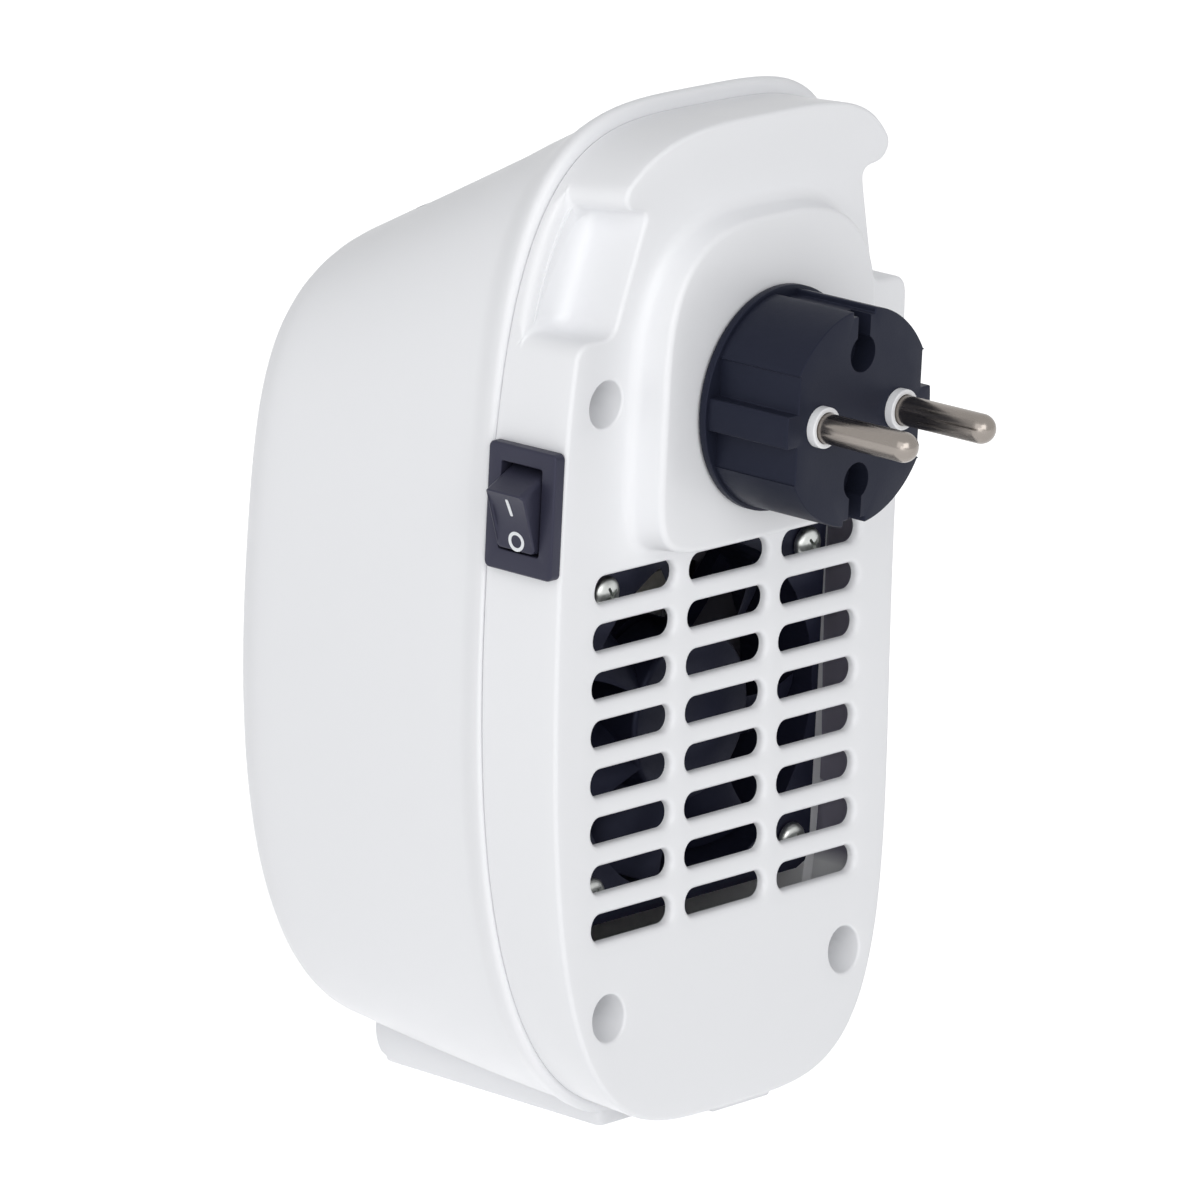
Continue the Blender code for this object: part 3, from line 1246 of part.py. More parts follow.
def build_panel():
    panel = slope_prism("control_panel", [round_rect((0.0, 0.0), PANEL_WIDTH * 0.5, PANEL_HEIGHT * 0.5,
                                                     PANEL_CORNER, 4)],
                        panel_back(), PANEL_PROUD)
    for index, (x, up_slope) in enumerate(button_places()):
        hole = slope_rod(f"button_hole_{index}", BUTTON_RADIUS + GAP, x, up_slope, panel_back() - GAP,
                         PANEL_PROUD + GAP)
        cut(panel, hole)
    glass = slope_box("window_hole", (WINDOW_WIDTH + 2.0 * GAP, WINDOW_HEIGHT + 2.0 * GAP,
                                      PANEL_THICKNESS * 2.0),
                      (0.0, WINDOW_UP, panel_back() + 0.5 * PANEL_THICKNESS))
    cut(panel, glass)
    for side in (1, -1):
        post = slope_rod(f"panel_post_{side}", PANEL_POST_RADIUS, side * PANEL_POST_X, 0.0,
                         board_top() + GAP, panel_back() + 0.5 * PANEL_THICKNESS, 12)
        join(panel, post)
    node(panel, material("panel_black", (0.012, 0.012, 0.014), 0.25), on_slope(0.0, 0.0, 0.0))
    window = slope_box("display_window", (WINDOW_WIDTH, WINDOW_HEIGHT, 0.5 * PANEL_THICKNESS),
                       (0.0, WINDOW_UP, PANEL_PROUD - 0.25 * PANEL_THICKNESS))
    node(window, material("window_smoke", (0.02, 0.02, 0.022), 0.1), on_slope(0.0, WINDOW_UP, 0.0))
    build_boards()
    build_buttons()


def build_boards():
    top = board_top()
    led_low = top + GAP
    led_high = PANEL_PROUD - 0.5 * PANEL_THICKNESS - GAP
    led = slope_box("led_display", (WINDOW_WIDTH - WALL, WINDOW_HEIGHT - WALL * 0.5, led_high - led_low),
                    (0.0, WINDOW_UP, 0.5 * (led_low + led_high)))
    node(led, material("led_grey", (0.12, 0.12, 0.12), 0.4), on_slope(0.0, WINDOW_UP, led_low))
    board = slope_box("control_board", (PANEL_WIDTH - WALL, PANEL_HEIGHT - WALL, BOARD_THICKNESS),
                      (0.0, 0.0, top - 0.5 * BOARD_THICKNESS))
    for index, (x, up_slope) in enumerate(button_places()):
        tact = slope_box(f"tact_{index}", (TACT_SIZE, TACT_SIZE, TACT_HEIGHT + 0.5 * BOARD_THICKNESS + GAP),
                         (x, up_slope, tact_top() - 0.5 * (TACT_HEIGHT + 0.5 * BOARD_THICKNESS + GAP)))
        join(board, tact)
    node(board, material("board_green", (0.03, 0.14, 0.07), 0.45), on_slope(0.0, 0.0, top))


def build_buttons():
    names = ("power", "timer", "minus", "plus")
    low = flange_low()
    for name, (x, up_slope) in zip(names, button_places()):
        profile = [(0.0, PANEL_PROUD + BUTTON_PROUD), (BUTTON_RADIUS - SMALL_EDGE,
                                                       PANEL_PROUD + BUTTON_PROUD),
                   (BUTTON_RADIUS, PANEL_PROUD + BUTTON_PROUD - SMALL_EDGE),
                   (BUTTON_RADIUS, low + BUTTON_FLANGE),
                   (BUTTON_RADIUS + BUTTON_FLANGE, low + BUTTON_FLANGE),
                   (BUTTON_RADIUS + BUTTON_FLANGE, low), (0.0, low)]
        outward = on_slope(0.0, 0.0, 1.0) - on_slope(0.0, 0.0, 0.0)
        place = on_slope(x, up_slope, 0.0)
        cap = turned(f"button_{name}", profile, place, outward, 20)
        node(cap, material(f"button_grey_{name}", (0.3, 0.3, 0.31), 0.4), place)


# Power board

def power_board_top():
    return duct_top() + DUCT_STANDOFF_HEIGHT + GAP + BOARD_THICKNESS


def build_power_board():
    top = power_board_top()
    board = box("power_board", (POWER_BOARD_WIDTH, POWER_BOARD_DEPTH, BOARD_THICKNESS),
                (0.0, POWER_BOARD_Y, top - 0.5 * BOARD_THICKNESS))
    node(board, material("power_board_green", (0.03, 0.14, 0.07), 0.45), (0.0, POWER_BOARD_Y, top))
    pieces = (("relay", RELAY_SIZE, RELAY_PLACE, (0.03, 0.08, 0.3)),
              ("terminal_block", BLOCK_SIZE, BLOCK_PLACE, (0.05, 0.25, 0.1)))
    for name, size, place, colour in pieces:
        centre = (place[0], POWER_BOARD_Y + place[1], top + GAP + 0.5 * size[2])
        made = bake(bevel(box(name, size, centre), SMALL_EDGE, 1))
        node(made, material(f"{name}_plastic", colour, 0.4), (centre[0], centre[1], top))


# Leads

def lead(name, points, colour):
    """Insulated wire along a smooth path, with flat ends."""
    curve = bpy.data.curves.new(name, "CURVE")
    curve.dimensions = "3D"
    curve.bevel_depth = LEAD_RADIUS
    curve.bevel_resolution = 1
    curve.use_fill_caps = True
    curve.resolution_u = LEAD_STEPS
    spline = curve.splines.new("BEZIER")
    spline.bezier_points.add(len(points) - 1)
    for knot, point in zip(spline.bezier_points, points):
        knot.co = point
        knot.handle_left_type = "AUTO"
        knot.handle_right_type = "AUTO"
    holder = bpy.data.objects.new(name, curve)
    CUTTERS.objects.link(holder)
    wire = bake(holder)
    return node(wire, material(f"{name}_insulation", colour, 0.5), points[0])



def block_mouth(index):
    """Place just behind one of the terminal block's mouths."""
    x = BLOCK_PLACE[0] + (index - 1) * LEAD_RADIUS * 3.0
    y = POWER_BOARD_Y + BLOCK_PLACE[1] + 0.5 * BLOCK_SIZE[1] + GAP + 0.2 * LEAD_RADIUS
    return Vector((x, y, power_board_top() + 0.5 * BLOCK_SIZE[2]))


def build_leads():
    neck = BOSS_Y - WALL - TURN_GAP - GAP * 2.0
    free = neck - RETAINER_THICKNESS - SCREW_HEAD_HEIGHT * 2.0
    inside = CASE_HALF_WIDTH + GAP + 0.5 * BEZEL_PROUD - HOUSING_DEPTH - SWITCH_TAB_LENGTH
    tab_end = inside - 2.0 * GAP
    out = SWITCH_TAB_LENGTH
    live = [plug_point(RETAINER_HOLE_RADIUS * 0.4, neck, 0.0), plug_point(RETAINER_HOLE_RADIUS * 0.4, free,
                                                                          0.0),
            (tab_end - out, SWITCH_Y, SWITCH_Z + SWITCH_TAB_OFFSET),
            (tab_end, SWITCH_Y, SWITCH_Z + SWITCH_TAB_OFFSET)]
    lead("lead_live", live, (0.25, 0.1, 0.04))
    mouth = block_mouth(0)
    neutral = [plug_point(-RETAINER_HOLE_RADIUS * 0.4, neck, 0.0), plug_point(-RETAINER_HOLE_RADIUS * 0.4,
                                                                              free, 0.0),
               mouth + Vector((0.0, out, 0.0)), mouth]
    lead("lead_neutral", neutral, (0.03, 0.12, 0.5))
    mouth = block_mouth(2)
    low = SWITCH_Z - SWITCH_TAB_OFFSET
    switched = [(tab_end, SWITCH_Y, low), (tab_end - out, SWITCH_Y, low), mouth + Vector((0.0, out, 0.0)),
                mouth]
    lead("lead_switched", switched, (0.25, 0.1, 0.04))
    build_heater_leads()


def build_heater_leads():
    """Short leads from the board's underside to the heater blades and the fan."""
    under = power_board_top() - BOARD_THICKNESS - GAP - LEAD_RADIUS
    blade_y = HEATER_BACK_Y - 0.5 * HEATER_DEPTH
    beside = 0.5 * TERMINAL_THICKNESS + GAP + LEAD_RADIUS
    blade_z = duct_top() + GAP + LEAD_RADIUS
    for number, side in ((1, 1), (2, -1)):
        x = side * TERMINAL_X
        start = Vector((x - side * TERMINAL_WIDTH * 0.5, blade_y + beside, blade_z))
        end = Vector((side * LEAD_RADIUS * 2.0, blade_y + beside, under))
        middle = (start + end) * 0.5
        lead(f"lead_heater_{number}", [start, middle, end], (0.55, 0.05, 0.04))
    fan_front = FAN_BACK_Y - FAN_DEPTH
    rise = duct_top() + LEAD_RADIUS + GAP
    x = FAN_LEAD_X
    fan = [(x, fan_front + FAN_BASE_THICKNESS, rise), (x, fan_front, rise),
           (x, POWER_BOARD_Y + 0.5 * POWER_BOARD_DEPTH, rise), (x, POWER_BOARD_Y + 0.4 * POWER_BOARD_DEPTH,
                                                                rise)]
    lead("lead_fan", fan, (0.02, 0.02, 0.02))
    ribbon_low = power_board_top() + GAP
    ribbon_high = on_slope(0.0, -0.3 * PANEL_HEIGHT, board_top() - BOARD_THICKNESS)
    foot = Vector((RIBBON_X, ribbon_high.y, ribbon_low + LEAD_RADIUS))
    head = Vector((RIBBON_X, ribbon_high.y, ribbon_high.z - LEAD_RADIUS))
    lead("lead_display", [foot, (foot + head) * 0.5, head], (0.5, 0.5, 0.5))


build_rear_shell()
build_front_shell()
build_plug_body()
build_pins()
build_retainer()
build_switch()
build_fan_frame()
build_impeller()
build_fan_screws()
build_case_screws()
build_duct()
build_heater()
build_cutout()
build_outlet_grille()
build_panel()
build_power_board()
build_leads()
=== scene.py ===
"""Looks of the plug-in ceramic fan heater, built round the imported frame, in metres with +Z up."""
import math

import bmesh
import bpy
import numpy as np
from mathutils import Matrix, Vector
from mathutils.geometry import delaunay_2d_cdt


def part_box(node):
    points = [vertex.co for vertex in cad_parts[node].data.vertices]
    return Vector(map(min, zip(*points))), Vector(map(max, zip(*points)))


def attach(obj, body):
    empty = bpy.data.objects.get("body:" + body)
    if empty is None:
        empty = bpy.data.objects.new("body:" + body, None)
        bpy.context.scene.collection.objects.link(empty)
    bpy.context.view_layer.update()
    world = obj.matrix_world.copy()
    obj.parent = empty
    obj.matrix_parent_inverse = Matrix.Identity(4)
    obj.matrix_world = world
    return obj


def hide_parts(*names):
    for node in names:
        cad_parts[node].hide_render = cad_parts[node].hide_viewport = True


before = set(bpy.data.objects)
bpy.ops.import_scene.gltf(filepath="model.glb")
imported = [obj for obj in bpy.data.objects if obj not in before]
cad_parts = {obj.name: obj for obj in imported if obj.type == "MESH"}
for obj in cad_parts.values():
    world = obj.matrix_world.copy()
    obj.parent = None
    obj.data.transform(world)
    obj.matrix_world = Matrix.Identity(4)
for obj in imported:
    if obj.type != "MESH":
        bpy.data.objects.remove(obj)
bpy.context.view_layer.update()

GAP = 0.0003
TURN_GAP = 0.0005
WALL = 0.0022
PLATE_WALL = 0.0017

# Case outline at the seam, seen along Y
CASE_HALF_WIDTH = 0.0416
CASE_MIDDLE_Z = 0.0900
CASE_UP = 0.0739
CASE_DOWN = 0.0874
OUTLINE_POWER_UP = 3.9
OUTLINE_POWER_DOWN = 3.2

# Outline of the back plate against the seam
BACK_TAPER = 0.0005
BACK_RISE = 0.0011
BACK_LIFT = 0.0010
BACK_POWER_UP = 3.8
BACK_POWER_DOWN = 3.9

# Depths along Y
SEAM_Y = 0.0138
PLATE_Y = 0.02854
FRONT_Y = -0.0440
DISH_Z = 0.1030
DISH_REACH = 1.578
SEAM_BOW_Z = 0.0892
SEAM_REACH_UP = 1.25
SEAM_REACH_DOWN = 0.97
FRONT_BULGE_Z = 0.0760
FRONT_BULGE_REACH = 0.85
SEAM_GAP = 0.00014
SEAM_EDGE = 0.0002
PLATE_EDGE_RADIUS = 0.0008

# Front shell
RIM_SIDE = 0.0004
RIM_TOP = 0.0017
RIM_BOTTOM = 0.0020
RIM_EDGE = 0.0005
RIM_ROUND_SHARE = 0.62
FLARE_PROUD = 0.0006
FLARE_LENGTH = 0.0050
FLARE_TOP = 0.0002
FLARE_TOP_LENGTH = 0.0030
FLARE_POWER = 1.5
CROWN_REAR = 0.0017
CROWN_FRONT = 0.0018
CURL = 0.0015
CURL_Z = 0.1480
CURL_HEIGHT = 0.0160
FRONT_TAPER = 0.0024
FRONT_DROP = 0.0319
FRONT_LIFT = 0.0054
FRONT_EDGE_RADIUS = 0.0090
TONGUE_LENGTH = 0.0030
TONGUE_WALL = 0.0014
FOOT_HEIGHT = 0.0085
FOOT_HALF_WIDTH = 0.0170
FOOT_FRONT_Y = -0.0296
FOOT_FLAT_FRONT_Y = -0.0252
FOOT_CORNER = 0.0016
FOOT_EDGE = 0.0009
FOOT_SPREAD = -0.0026
FOOT_CLEARANCE = 0.0002
LEDGE_FAR_X = -0.0172
LEDGE_NEAR_X = -0.0028
LEDGE_DEPTH = 0.0064
LEDGE_HEIGHT = 0.0056
LEDGE_EDGE = 0.0006

# Air slots
SLOT_COLUMNS = 3
SLOT_ROWS = 8
SLOT_PITCH_X = 0.0226
SLOT_PITCH_Z = 0.00776
SLOT_WIDTH = 0.0192
SLOT_HEIGHT = 0.0045
SLOT_TOP_RISE = 0.0269
SLOT_EDGE = 0.0010

# Finger grips
GRIP_TOP_Z = 0.1520
GRIP_TIP_Z = 0.1526
GRIP_SHOULDER_Z = 0.1328
GRIP_INNER_TOP_X = 0.0260
GRIP_INNER_LOW_X = 0.0316
GRIP_DEPTH = 0.0112
GRIP_SAG = 0.0027
GRIP_SHOULDER_RADIUS = 0.0030
GRIP_LOW_RADIUS = 0.0028
GRIP_NECK_RADIUS = 0.0014
GRIP_TIP_RADIUS = 0.0027
GRIP_FILLET = 0.0022
GRIP_LIP = 0.0013
GRIP_FADE = 0.0010
GRIP_NORMAL_FADE = 0.0002
GRIP_INNER_DROP = 0.001
INNER_STEP = 0.0001
RING_STEP = 0.00012

# Points of an outline's right half, below, along and above the grip
BELOW_POINTS = 90
NOTCH_POINTS = 64
ABOVE_POINTS = 26

# Plug platform
PLUG_Z = 0.1200
BOSS_Y = 0.03506
BOSS_MIDDLE_Z = 0.1232
BOSS_HALF_WIDTH = 0.0255
BOSS_HALF_HEIGHT = 0.0262
BOSS_POWER_UP = 3.0
BOSS_POWER_DOWN = 7.0
BOSS_FLARE = 0.0022
BOSS_FLARE_BELOW = 0.0012
BOSS_DRAFT = 0.0004
BOSS_EDGE = 0.0011
BORE_EDGE = 0.0003

# Plug
PLUG_RADIUS = 0.01745
PLUG_LENGTH = 0.01790
PLUG_COLLAR_RADIUS = 0.01805
PLUG_COLLAR_LENGTH = 0.0018
PLUG_NECK_RADIUS = 0.0130
PLUG_FLAT_X = 0.0149
PLUG_FLAT_HALF_HEIGHT = 0.0087
PLUG_RIB_HALF_HEIGHT = 0.0026
PLUG_RIB_ROUND = 0.00028
PLUG_GROOVE_WIDTH = 0.0052
PLUG_GROOVE_DEPTH = 0.0012
PLUG_EDGE = 0.0004
PLUG_FACE = BOSS_Y + PLUG_LENGTH
PLUG_FACE_EDGE = 0.00022
KEYHOLE_RADIUS = 0.0030
KEYHOLE_Z = 0.0102
KEYHOLE_SLOT_WIDTH = 0.0030
KEYHOLE_DEPTH = 0.0040
PIN_RADIUS = 0.0024
PIN_LENGTH = 0.0190
PIN_HALF_PITCH = 0.0095
PIN_ROOT = 0.0120
PIN_COLLAR = 0.002
SLEEVE_RADIUS = 0.00327
SLEEVE_ROOT = 0.0040
SLEEVE_PROUD = 0.0014
SLEEVE_EDGE = 0.00022
SLEEVE_FIT = 0.00004
SLEEVE_BORE_FIT = 0.00005
SLEEVE_FLOOR_GAP = 0.0001

# Switch
SWITCH_Z = 0.1059
SWITCH_Y = 0.02155
BEZEL_WIDTH = 0.0138
BEZEL_HEIGHT = 0.0202
BEZEL_DROP = 0.0003
BEZEL_PROUD = 0.0014
BEZEL_FACE = GAP + BEZEL_PROUD
BEZEL_CORNER = 0.0010
BEZEL_EDGE = 0.00035
BEZEL_LIFT = 0.0001
WALL_LEAN = 0.035
HOUSING_WIDTH = 0.0092
HOUSING_HEIGHT = 0.0168
HOUSING_DEPTH = 0.0115
HOUSING_CORNER = 0.0004
HOUSING_START = -0.0004
OPENING_EDGE = 0.0002
OPENING_DEPTHS = (0.004, 0.009)
ROCKER_WIDTH = 0.0078
ROCKER_OPENING_HALF = 0.0070
ROCKER_END_RISE = 0.0068
ROCKER_MIDDLE_RISE = 0.0060
ROCKER_RISES = (-0.0030, 0.0, 0.0030, 0.0048)
ROCKER_FACE_SLANT = 0.10
ROCKER_PIVOT_DEPTH = 0.0042
ROCKER_REST_TILT = math.radians(14.0)
ROCKER_CORNER = 0.0009
ROCKER_EDGE = 0.00025
MARK_PROUD = 0.00006
MARK_WIDTH = 0.00055
MARK_REACH = 0.0016
LINE_PLACE = (0.0001, 0.0023)
RING_PLACE = (0.0003, -0.0036)

# Fan and screws
FAN_SIDE_CLEARANCE = 0.0116
FAN_HALF = CASE_HALF_WIDTH - FAN_SIDE_CLEARANCE
FAN_TOP_CLEARANCE = 0.0023
FAN_Z = SWITCH_Z - 0.5 * HOUSING_HEIGHT - FAN_TOP_CLEARANCE - FAN_HALF
FAN_DEPTH = 0.0150
FAN_BACK_Y = 0.0232
FAN_HOLE_HALF_PITCH = FAN_HALF - 0.0054
FAN_BORE_RADIUS = FAN_HALF - 0.0015
HUB_RADIUS = 0.49 * FAN_BORE_RADIUS
HUB_LENGTH = 0.0100
HUB_WALL = 0.0016
HUB_EDGE = 0.0009
HUB_BACK_Y = FAN_BACK_Y - 2.0 * TURN_GAP
HUB_DIMPLE = 0.0003
AXIS_RADIUS = 0.0004
BLADE_COUNT = 7
BLADE_ROOT_RADIUS = HUB_RADIUS - 0.5 * HUB_WALL
BLADE_TIP_RADIUS = FAN_BORE_RADIUS - 0.0013
BLADE_THICKNESS = 0.0012
BLADE_CHORD = 0.0125
BLADE_CAMBER = 0.0007
BLADE_SWEEP = 0.10
BLADE_ROOT_ANGLE = math.radians(52.0)
BLADE_TIP_ANGLE = math.radians(30.0)
SHAFT_RADIUS = 0.0015
SCREW_HEAD_RADIUS = 0.00285
SCREW_HEAD_HEIGHT = 0.0018
SCREW_RADIUS = 0.0015
SCREW_CROSS_WIDTH = 0.0006
SCREW_PITCH = 0.0011
THREAD_HALF_WIDTH = 0.0003
THREAD_DEPTH = 0.00022
FAN_SCREW_LENGTH = FAN_DEPTH + GAP * 2.0 + 0.0070
CASE_SCREW_SHARES = ((0.776, 0.436), (0.695, -0.764))
CASE_SCREW_HEAD_RADIUS = 0.0033
CASE_SCREW_LENGTH = 0.0108
RECESS_RADIUS = 0.0038
RECESS_WALL = 0.0013
RECESS_EDGE = 0.0005

# Outlet and panel
OUTLET_HALF = FAN_HALF - 0.0015
OUTLET_CORNER = 0.0060
OUTLET_EDGE = 0.0010
OUTLET_TOOL_LIFT = 0.00002
OUTLET_TOOL_WIDER = 0.0005
OUTLET_TOOL_AHEAD = 0.004
OUTLET_TOOL_DEPTH = 0.020
OUTLET_FRAME = 0.0022
OUTLET_FRAME_EDGE = 0.0006
OUTLET_FLANGE = 0.0016
OUTLET_DEPTH = 0.0100
LOUVRE_COUNT = 7
LOUVRE_THICKNESS = 0.0013
LOUVRE_CHORD = 0.0062
LOUVRE_EDGE = 0.0005
LOUVRE_TILT = math.radians(28.0)
BAR_EDGE = 0.0003
PANEL_WIDTH = 0.0460
PANEL_HEIGHT = 0.0300
PANEL_THICKNESS = 0.0030
PANEL_CORNER = 0.0035
PANEL_CENTRE_Y = -0.0140
PANEL_PROUD = 0.0006
PANEL_SINK = 0.0022
PANEL_BACK = PANEL_PROUD - PANEL_THICKNESS
PANEL_EDGE = 0.0005
PANEL_MOUTH_EDGE = 0.0009
PANEL_TOOL_WIDER = 0.002
PANEL_TOOL_HEIGHT = 0.006
PANEL_TOOL_DEPTH = 0.008
SLOPE_STEP_SHARE = 0.02
WINDOW_WIDTH = 0.522 * PANEL_WIDTH
WINDOW_HEIGHT = 0.0110
WINDOW_UP = 0.0055
WINDOW_CORNER = 0.0006
WINDOW_FIT = 0.00005
WINDOW_EDGE = 0.0001
BUTTON_NAMES = ("power", "timer", "minus", "plus")
BUTTON_RADIUS = 0.0034
BUTTON_PITCH = 0.226 * PANEL_WIDTH
BUTTON_DOWN = 0.0085
BUTTON_TOP = PANEL_PROUD + 0.0006
BUTTON_HOLLOW = 0.00022
BUTTON_EDGE = 0.0005
BUTTON_FLANGE = 0.0007
BUTTON_HOLE_EDGE = 0.0002
ICON_DEPTH = 0.00014
ICON_PROUD = 0.0001
ICON_STROKE = 0.00036
MINUS_REACH = 0.0013
CLOCK_RADIUS = 0.0015
CLOCK_HAND = 0.0006
CLOCK_HAND_UP = 0.0005
POWER_RADIUS = 0.0014
POWER_BAR = 0.0007
POWER_BAR_UP = 0.0011
POWER_OPENING = math.radians(35.0)

# Camera fitted to the photograph
PLUG_FACE_Y = 0.05296
CAMERA_AZIMUTH = 130.2914
CAMERA_ELEVATION = 14.7193
CAMERA_ROLL = 2.7679
CAMERA_DISTANCE = 1.5531784
CAMERA_RIGHT = -0.0388964
CAMERA_UP = -0.0302623
CAMERA_LENS = 300.0
SENSOR_WIDTH = 36.0

# Studio light
WORLD_LIGHT = 0.42
WORLD_COLOUR = (0.97, 0.98, 1.0, 1.0)
WHITE = (1.0, 1.0, 1.0, 1.0)
FLOOR_COLOUR = (0.88, 0.88, 0.88)
FLOOR_LIFT = 0.80
FLOOR_GLOW = 0.24
FLOOR_HALF = 14.0
LAMPS = {
    "key": ((1.3, 0.25, 0.75), (0.0, 0.0, 0.08), (1.1, 1.1), 3.1),
    "back": ((0.75, 1.30, 0.80), (0.0, 0.0, 0.08), (1.1, 1.0), 7.7),
    "fill": ((1.25, 0.80, 0.25), (0.0, 0.0, 0.09), (0.7, 0.7), 2.4),
}

# Distances between the points inside filled faces
PLATE_STEP = 0.0024
BOSS_STEP = 0.0026
FRONT_STEP = 0.003
FLAT_STEP = 0.004
INNER_PLATE_STEP = 0.005
HIDDEN_STEP = 0.006
COLLAR_STEP = 0.02
ROCKER_STEP = 0.0007

# Meshing
ROW_SHARE = 0.8660254
BEND_SHARE = 0.9
SHARP_ANGLE = 32.0
MERGE_DISTANCE = 0.0000004


# Meshes

class Surface:
    """Collects rings, bands between them and filled faces for one piece."""

    def __init__(self):
        self.points = []
        self.faces = []

    def ring(self, points):
        start = len(self.points)
        self.points += [tuple(float(value) for value in point) for point in points]
        return list(range(start, len(self.points)))

    def bridge(self, first, second):
        for index in range(len(first)):
            following = (index + 1) % len(first)
            self.faces.append((first[index], first[following], second[following], second[index]))

    def band(self, rings, start=None):
        """Bridges rings in order, from an existing one if given, and returns the first and last."""
        made = [] if start is None else [start]
        made += [self.ring(points) for points in rings]
        for first, second in zip(made, made[1:]):
            self.bridge(first, second)
        return made[0], made[-1]

    def cap(self, *rings):
        """Closes rings with triangles round their middles."""
        for ring in rings:
            centre = self.ring([np.mean([self.points[index] for index in ring], axis=0)])[0]
            self.faces += [(ring[index], ring[(index + 1) % len(ring)], centre) for index in range(len(ring))]

    def fill(self, outer, holes, depth, step):
        """Fills between loops in X and Z; new points inside lie at depth(z)."""
        loops = [outer, *holes]
        ids = [index for loop in loops for index in loop]
        flat = np.array([(self.points[index][0], self.points[index][2]) for index in ids])
        edges = []
        for loop in loops:
            start = len(edges)
            edges += [(start + k, start + (k + 1) % len(loop)) for k in range(len(loop))]
        low, high = flat.min(axis=0), flat.max(axis=0)
        middle = 0.5 * (low[0] + high[0])
        columns = np.arange(-math.floor((middle - low[0]) / step), math.floor((high[0] - middle) / step) + 1)
        inside = []
        for number, z in enumerate(np.arange(low[1] + 0.5 * step, high[1], step * ROW_SHARE)):
            x = middle + step * (columns + 0.5 * (number % 2))
            row = np.column_stack([x, np.full(len(x), z)])
            away = np.sqrt(((row[:, None, :] - flat[None, :, :]) ** 2).sum(axis=2)).min(axis=1)
            inside += row[away > 0.55 * step].tolist()
        in_millimetres = [Vector((1000.0 * x, 1000.0 * z)) for x, z in flat.tolist() + inside]
        spots, _, triangles, origin, _, _ = delaunay_2d_cdt(in_millimetres, edges, [], 2, 1e-5)
        known = {}
        for number, sources in enumerate(origin):
            boundary = [source for source in sources if source < len(ids)]
            if boundary:
                known[number] = ids[boundary[0]]
        centres = np.array([np.mean([spots[number] for number in corners], axis=0) for corners in triangles])
        outline, *openings = np.split(flat, np.cumsum([len(loop) for loop in loops])[:-1])
        keep = inside_loop(centres * 0.001, outline)
        for loop in openings:
            keep &= ~inside_loop(centres * 0.001, loop)
        for number in np.nonzero(keep)[0]:
            for spot in triangles[number]:
                if spot not in known:
                    x, z = spots[spot][0] * 0.001, spots[spot][1] * 0.001
                    known[spot] = self.ring([(x, depth(z), z)])[0]
            self.faces.append(tuple(known[spot] for spot in triangles[number]))

    def move(self, matrix):
        self.points = [tuple(matrix @ Vector(point)) for point in self.points]
        return self

    def build(self, name, angle=SHARP_ANGLE):
        bm = bmesh.new()
        verts = [bm.verts.new(point) for point in self.points]
        for face in self.faces:
            if len(set(face)) == len(face):
                bm.faces.new([verts[index] for index in face])
        bmesh.ops.remove_doubles(bm, verts=bm.verts, dist=MERGE_DISTANCE)
        bmesh.ops.dissolve_degenerate(bm, edges=bm.edges, dist=MERGE_DISTANCE)
        bmesh.ops.delete(bm, geom=[vert for vert in bm.verts if not vert.link_faces], context="VERTS")
        return from_bmesh(name, bm, angle)


def linked(name, data):
    item = bpy.data.objects.new(name, data)
    bpy.context.scene.collection.objects.link(item)
    return item


def smooth(item, angle):
    item.data.shade_smooth()
    item.data.set_sharp_from_angle(angle=math.radians(angle))
    return item


def from_bmesh(name, bm, angle=SHARP_ANGLE):
    bmesh.ops.recalc_face_normals(bm, faces=bm.faces)
    if bm.calc_volume(signed=True) < 0.0:
        bmesh.ops.reverse_faces(bm, faces=bm.faces)
    mesh = bpy.data.meshes.new(name)
    bm.to_mesh(mesh)
    bm.free()
    return smooth(linked(name, mesh), angle)


def box(name, size, centre, edge=0.0, turn=Matrix.Identity(4)):
    bm = bmesh.new()
    bmesh.ops.create_cube(bm, size=1.0)
    bmesh.ops.scale(bm, vec=Vector(size), verts=bm.verts)
    if edge:
        bmesh.ops.bevel(bm, geom=bm.edges, offset=edge, segments=3, affect="EDGES", profile=0.5)
    bmesh.ops.transform(bm, matrix=turn, verts=bm.verts)
    bmesh.ops.translate(bm, vec=Vector(centre), verts=bm.verts)
    return from_bmesh(name, bm)


def boolean(item, tools, operation="DIFFERENCE", angle=SHARP_ANGLE):
    for tool in tools:
        change = item.modifiers.new("Cut", "BOOLEAN")
        change.operation = operation
        change.solver = "EXACT"
        change.object = tool
    graph = bpy.context.evaluated_depsgraph_get()
    mesh = bpy.data.meshes.new_from_object(item.evaluated_get(graph))
    item.modifiers.clear()
    item.data = mesh
    for tool in tools:
        bpy.data.objects.remove(tool, do_unlink=True)
    return smooth(item, angle)


def loft(rings, capped=False):
    """Closed surface through rings, with flat ends or with ends that meet in their middles."""
    surface = Surface()
    ends = surface.band(rings)
    if capped:
        surface.cap(*ends)
    else:
        surface.faces += [tuple(end) for end in ends]
    return surface


def lathe(name, profile, centre, steps, angle):
    """Solid of revolution about a line along Y, from (radius, y) pairs."""
    return loft([at(circle(centre, radius, steps), y) for radius, y in profile], True).build(name, angle)


def inside_loop(points, loop):
    """Which points lie inside a closed loop."""
    result = np.zeros(len(points), dtype=bool)
    for first, second in zip(loop, np.roll(loop, -1, axis=0)):
        crosses = (first[1] > points[:, 1]) != (second[1] > points[:, 1])
        if crosses.any():
            slope = (second[0] - first[0]) / (second[1] - first[1])
            result ^= crosses & (points[:, 0] < first[0] + slope * (points[:, 1] - first[1]))
    return result


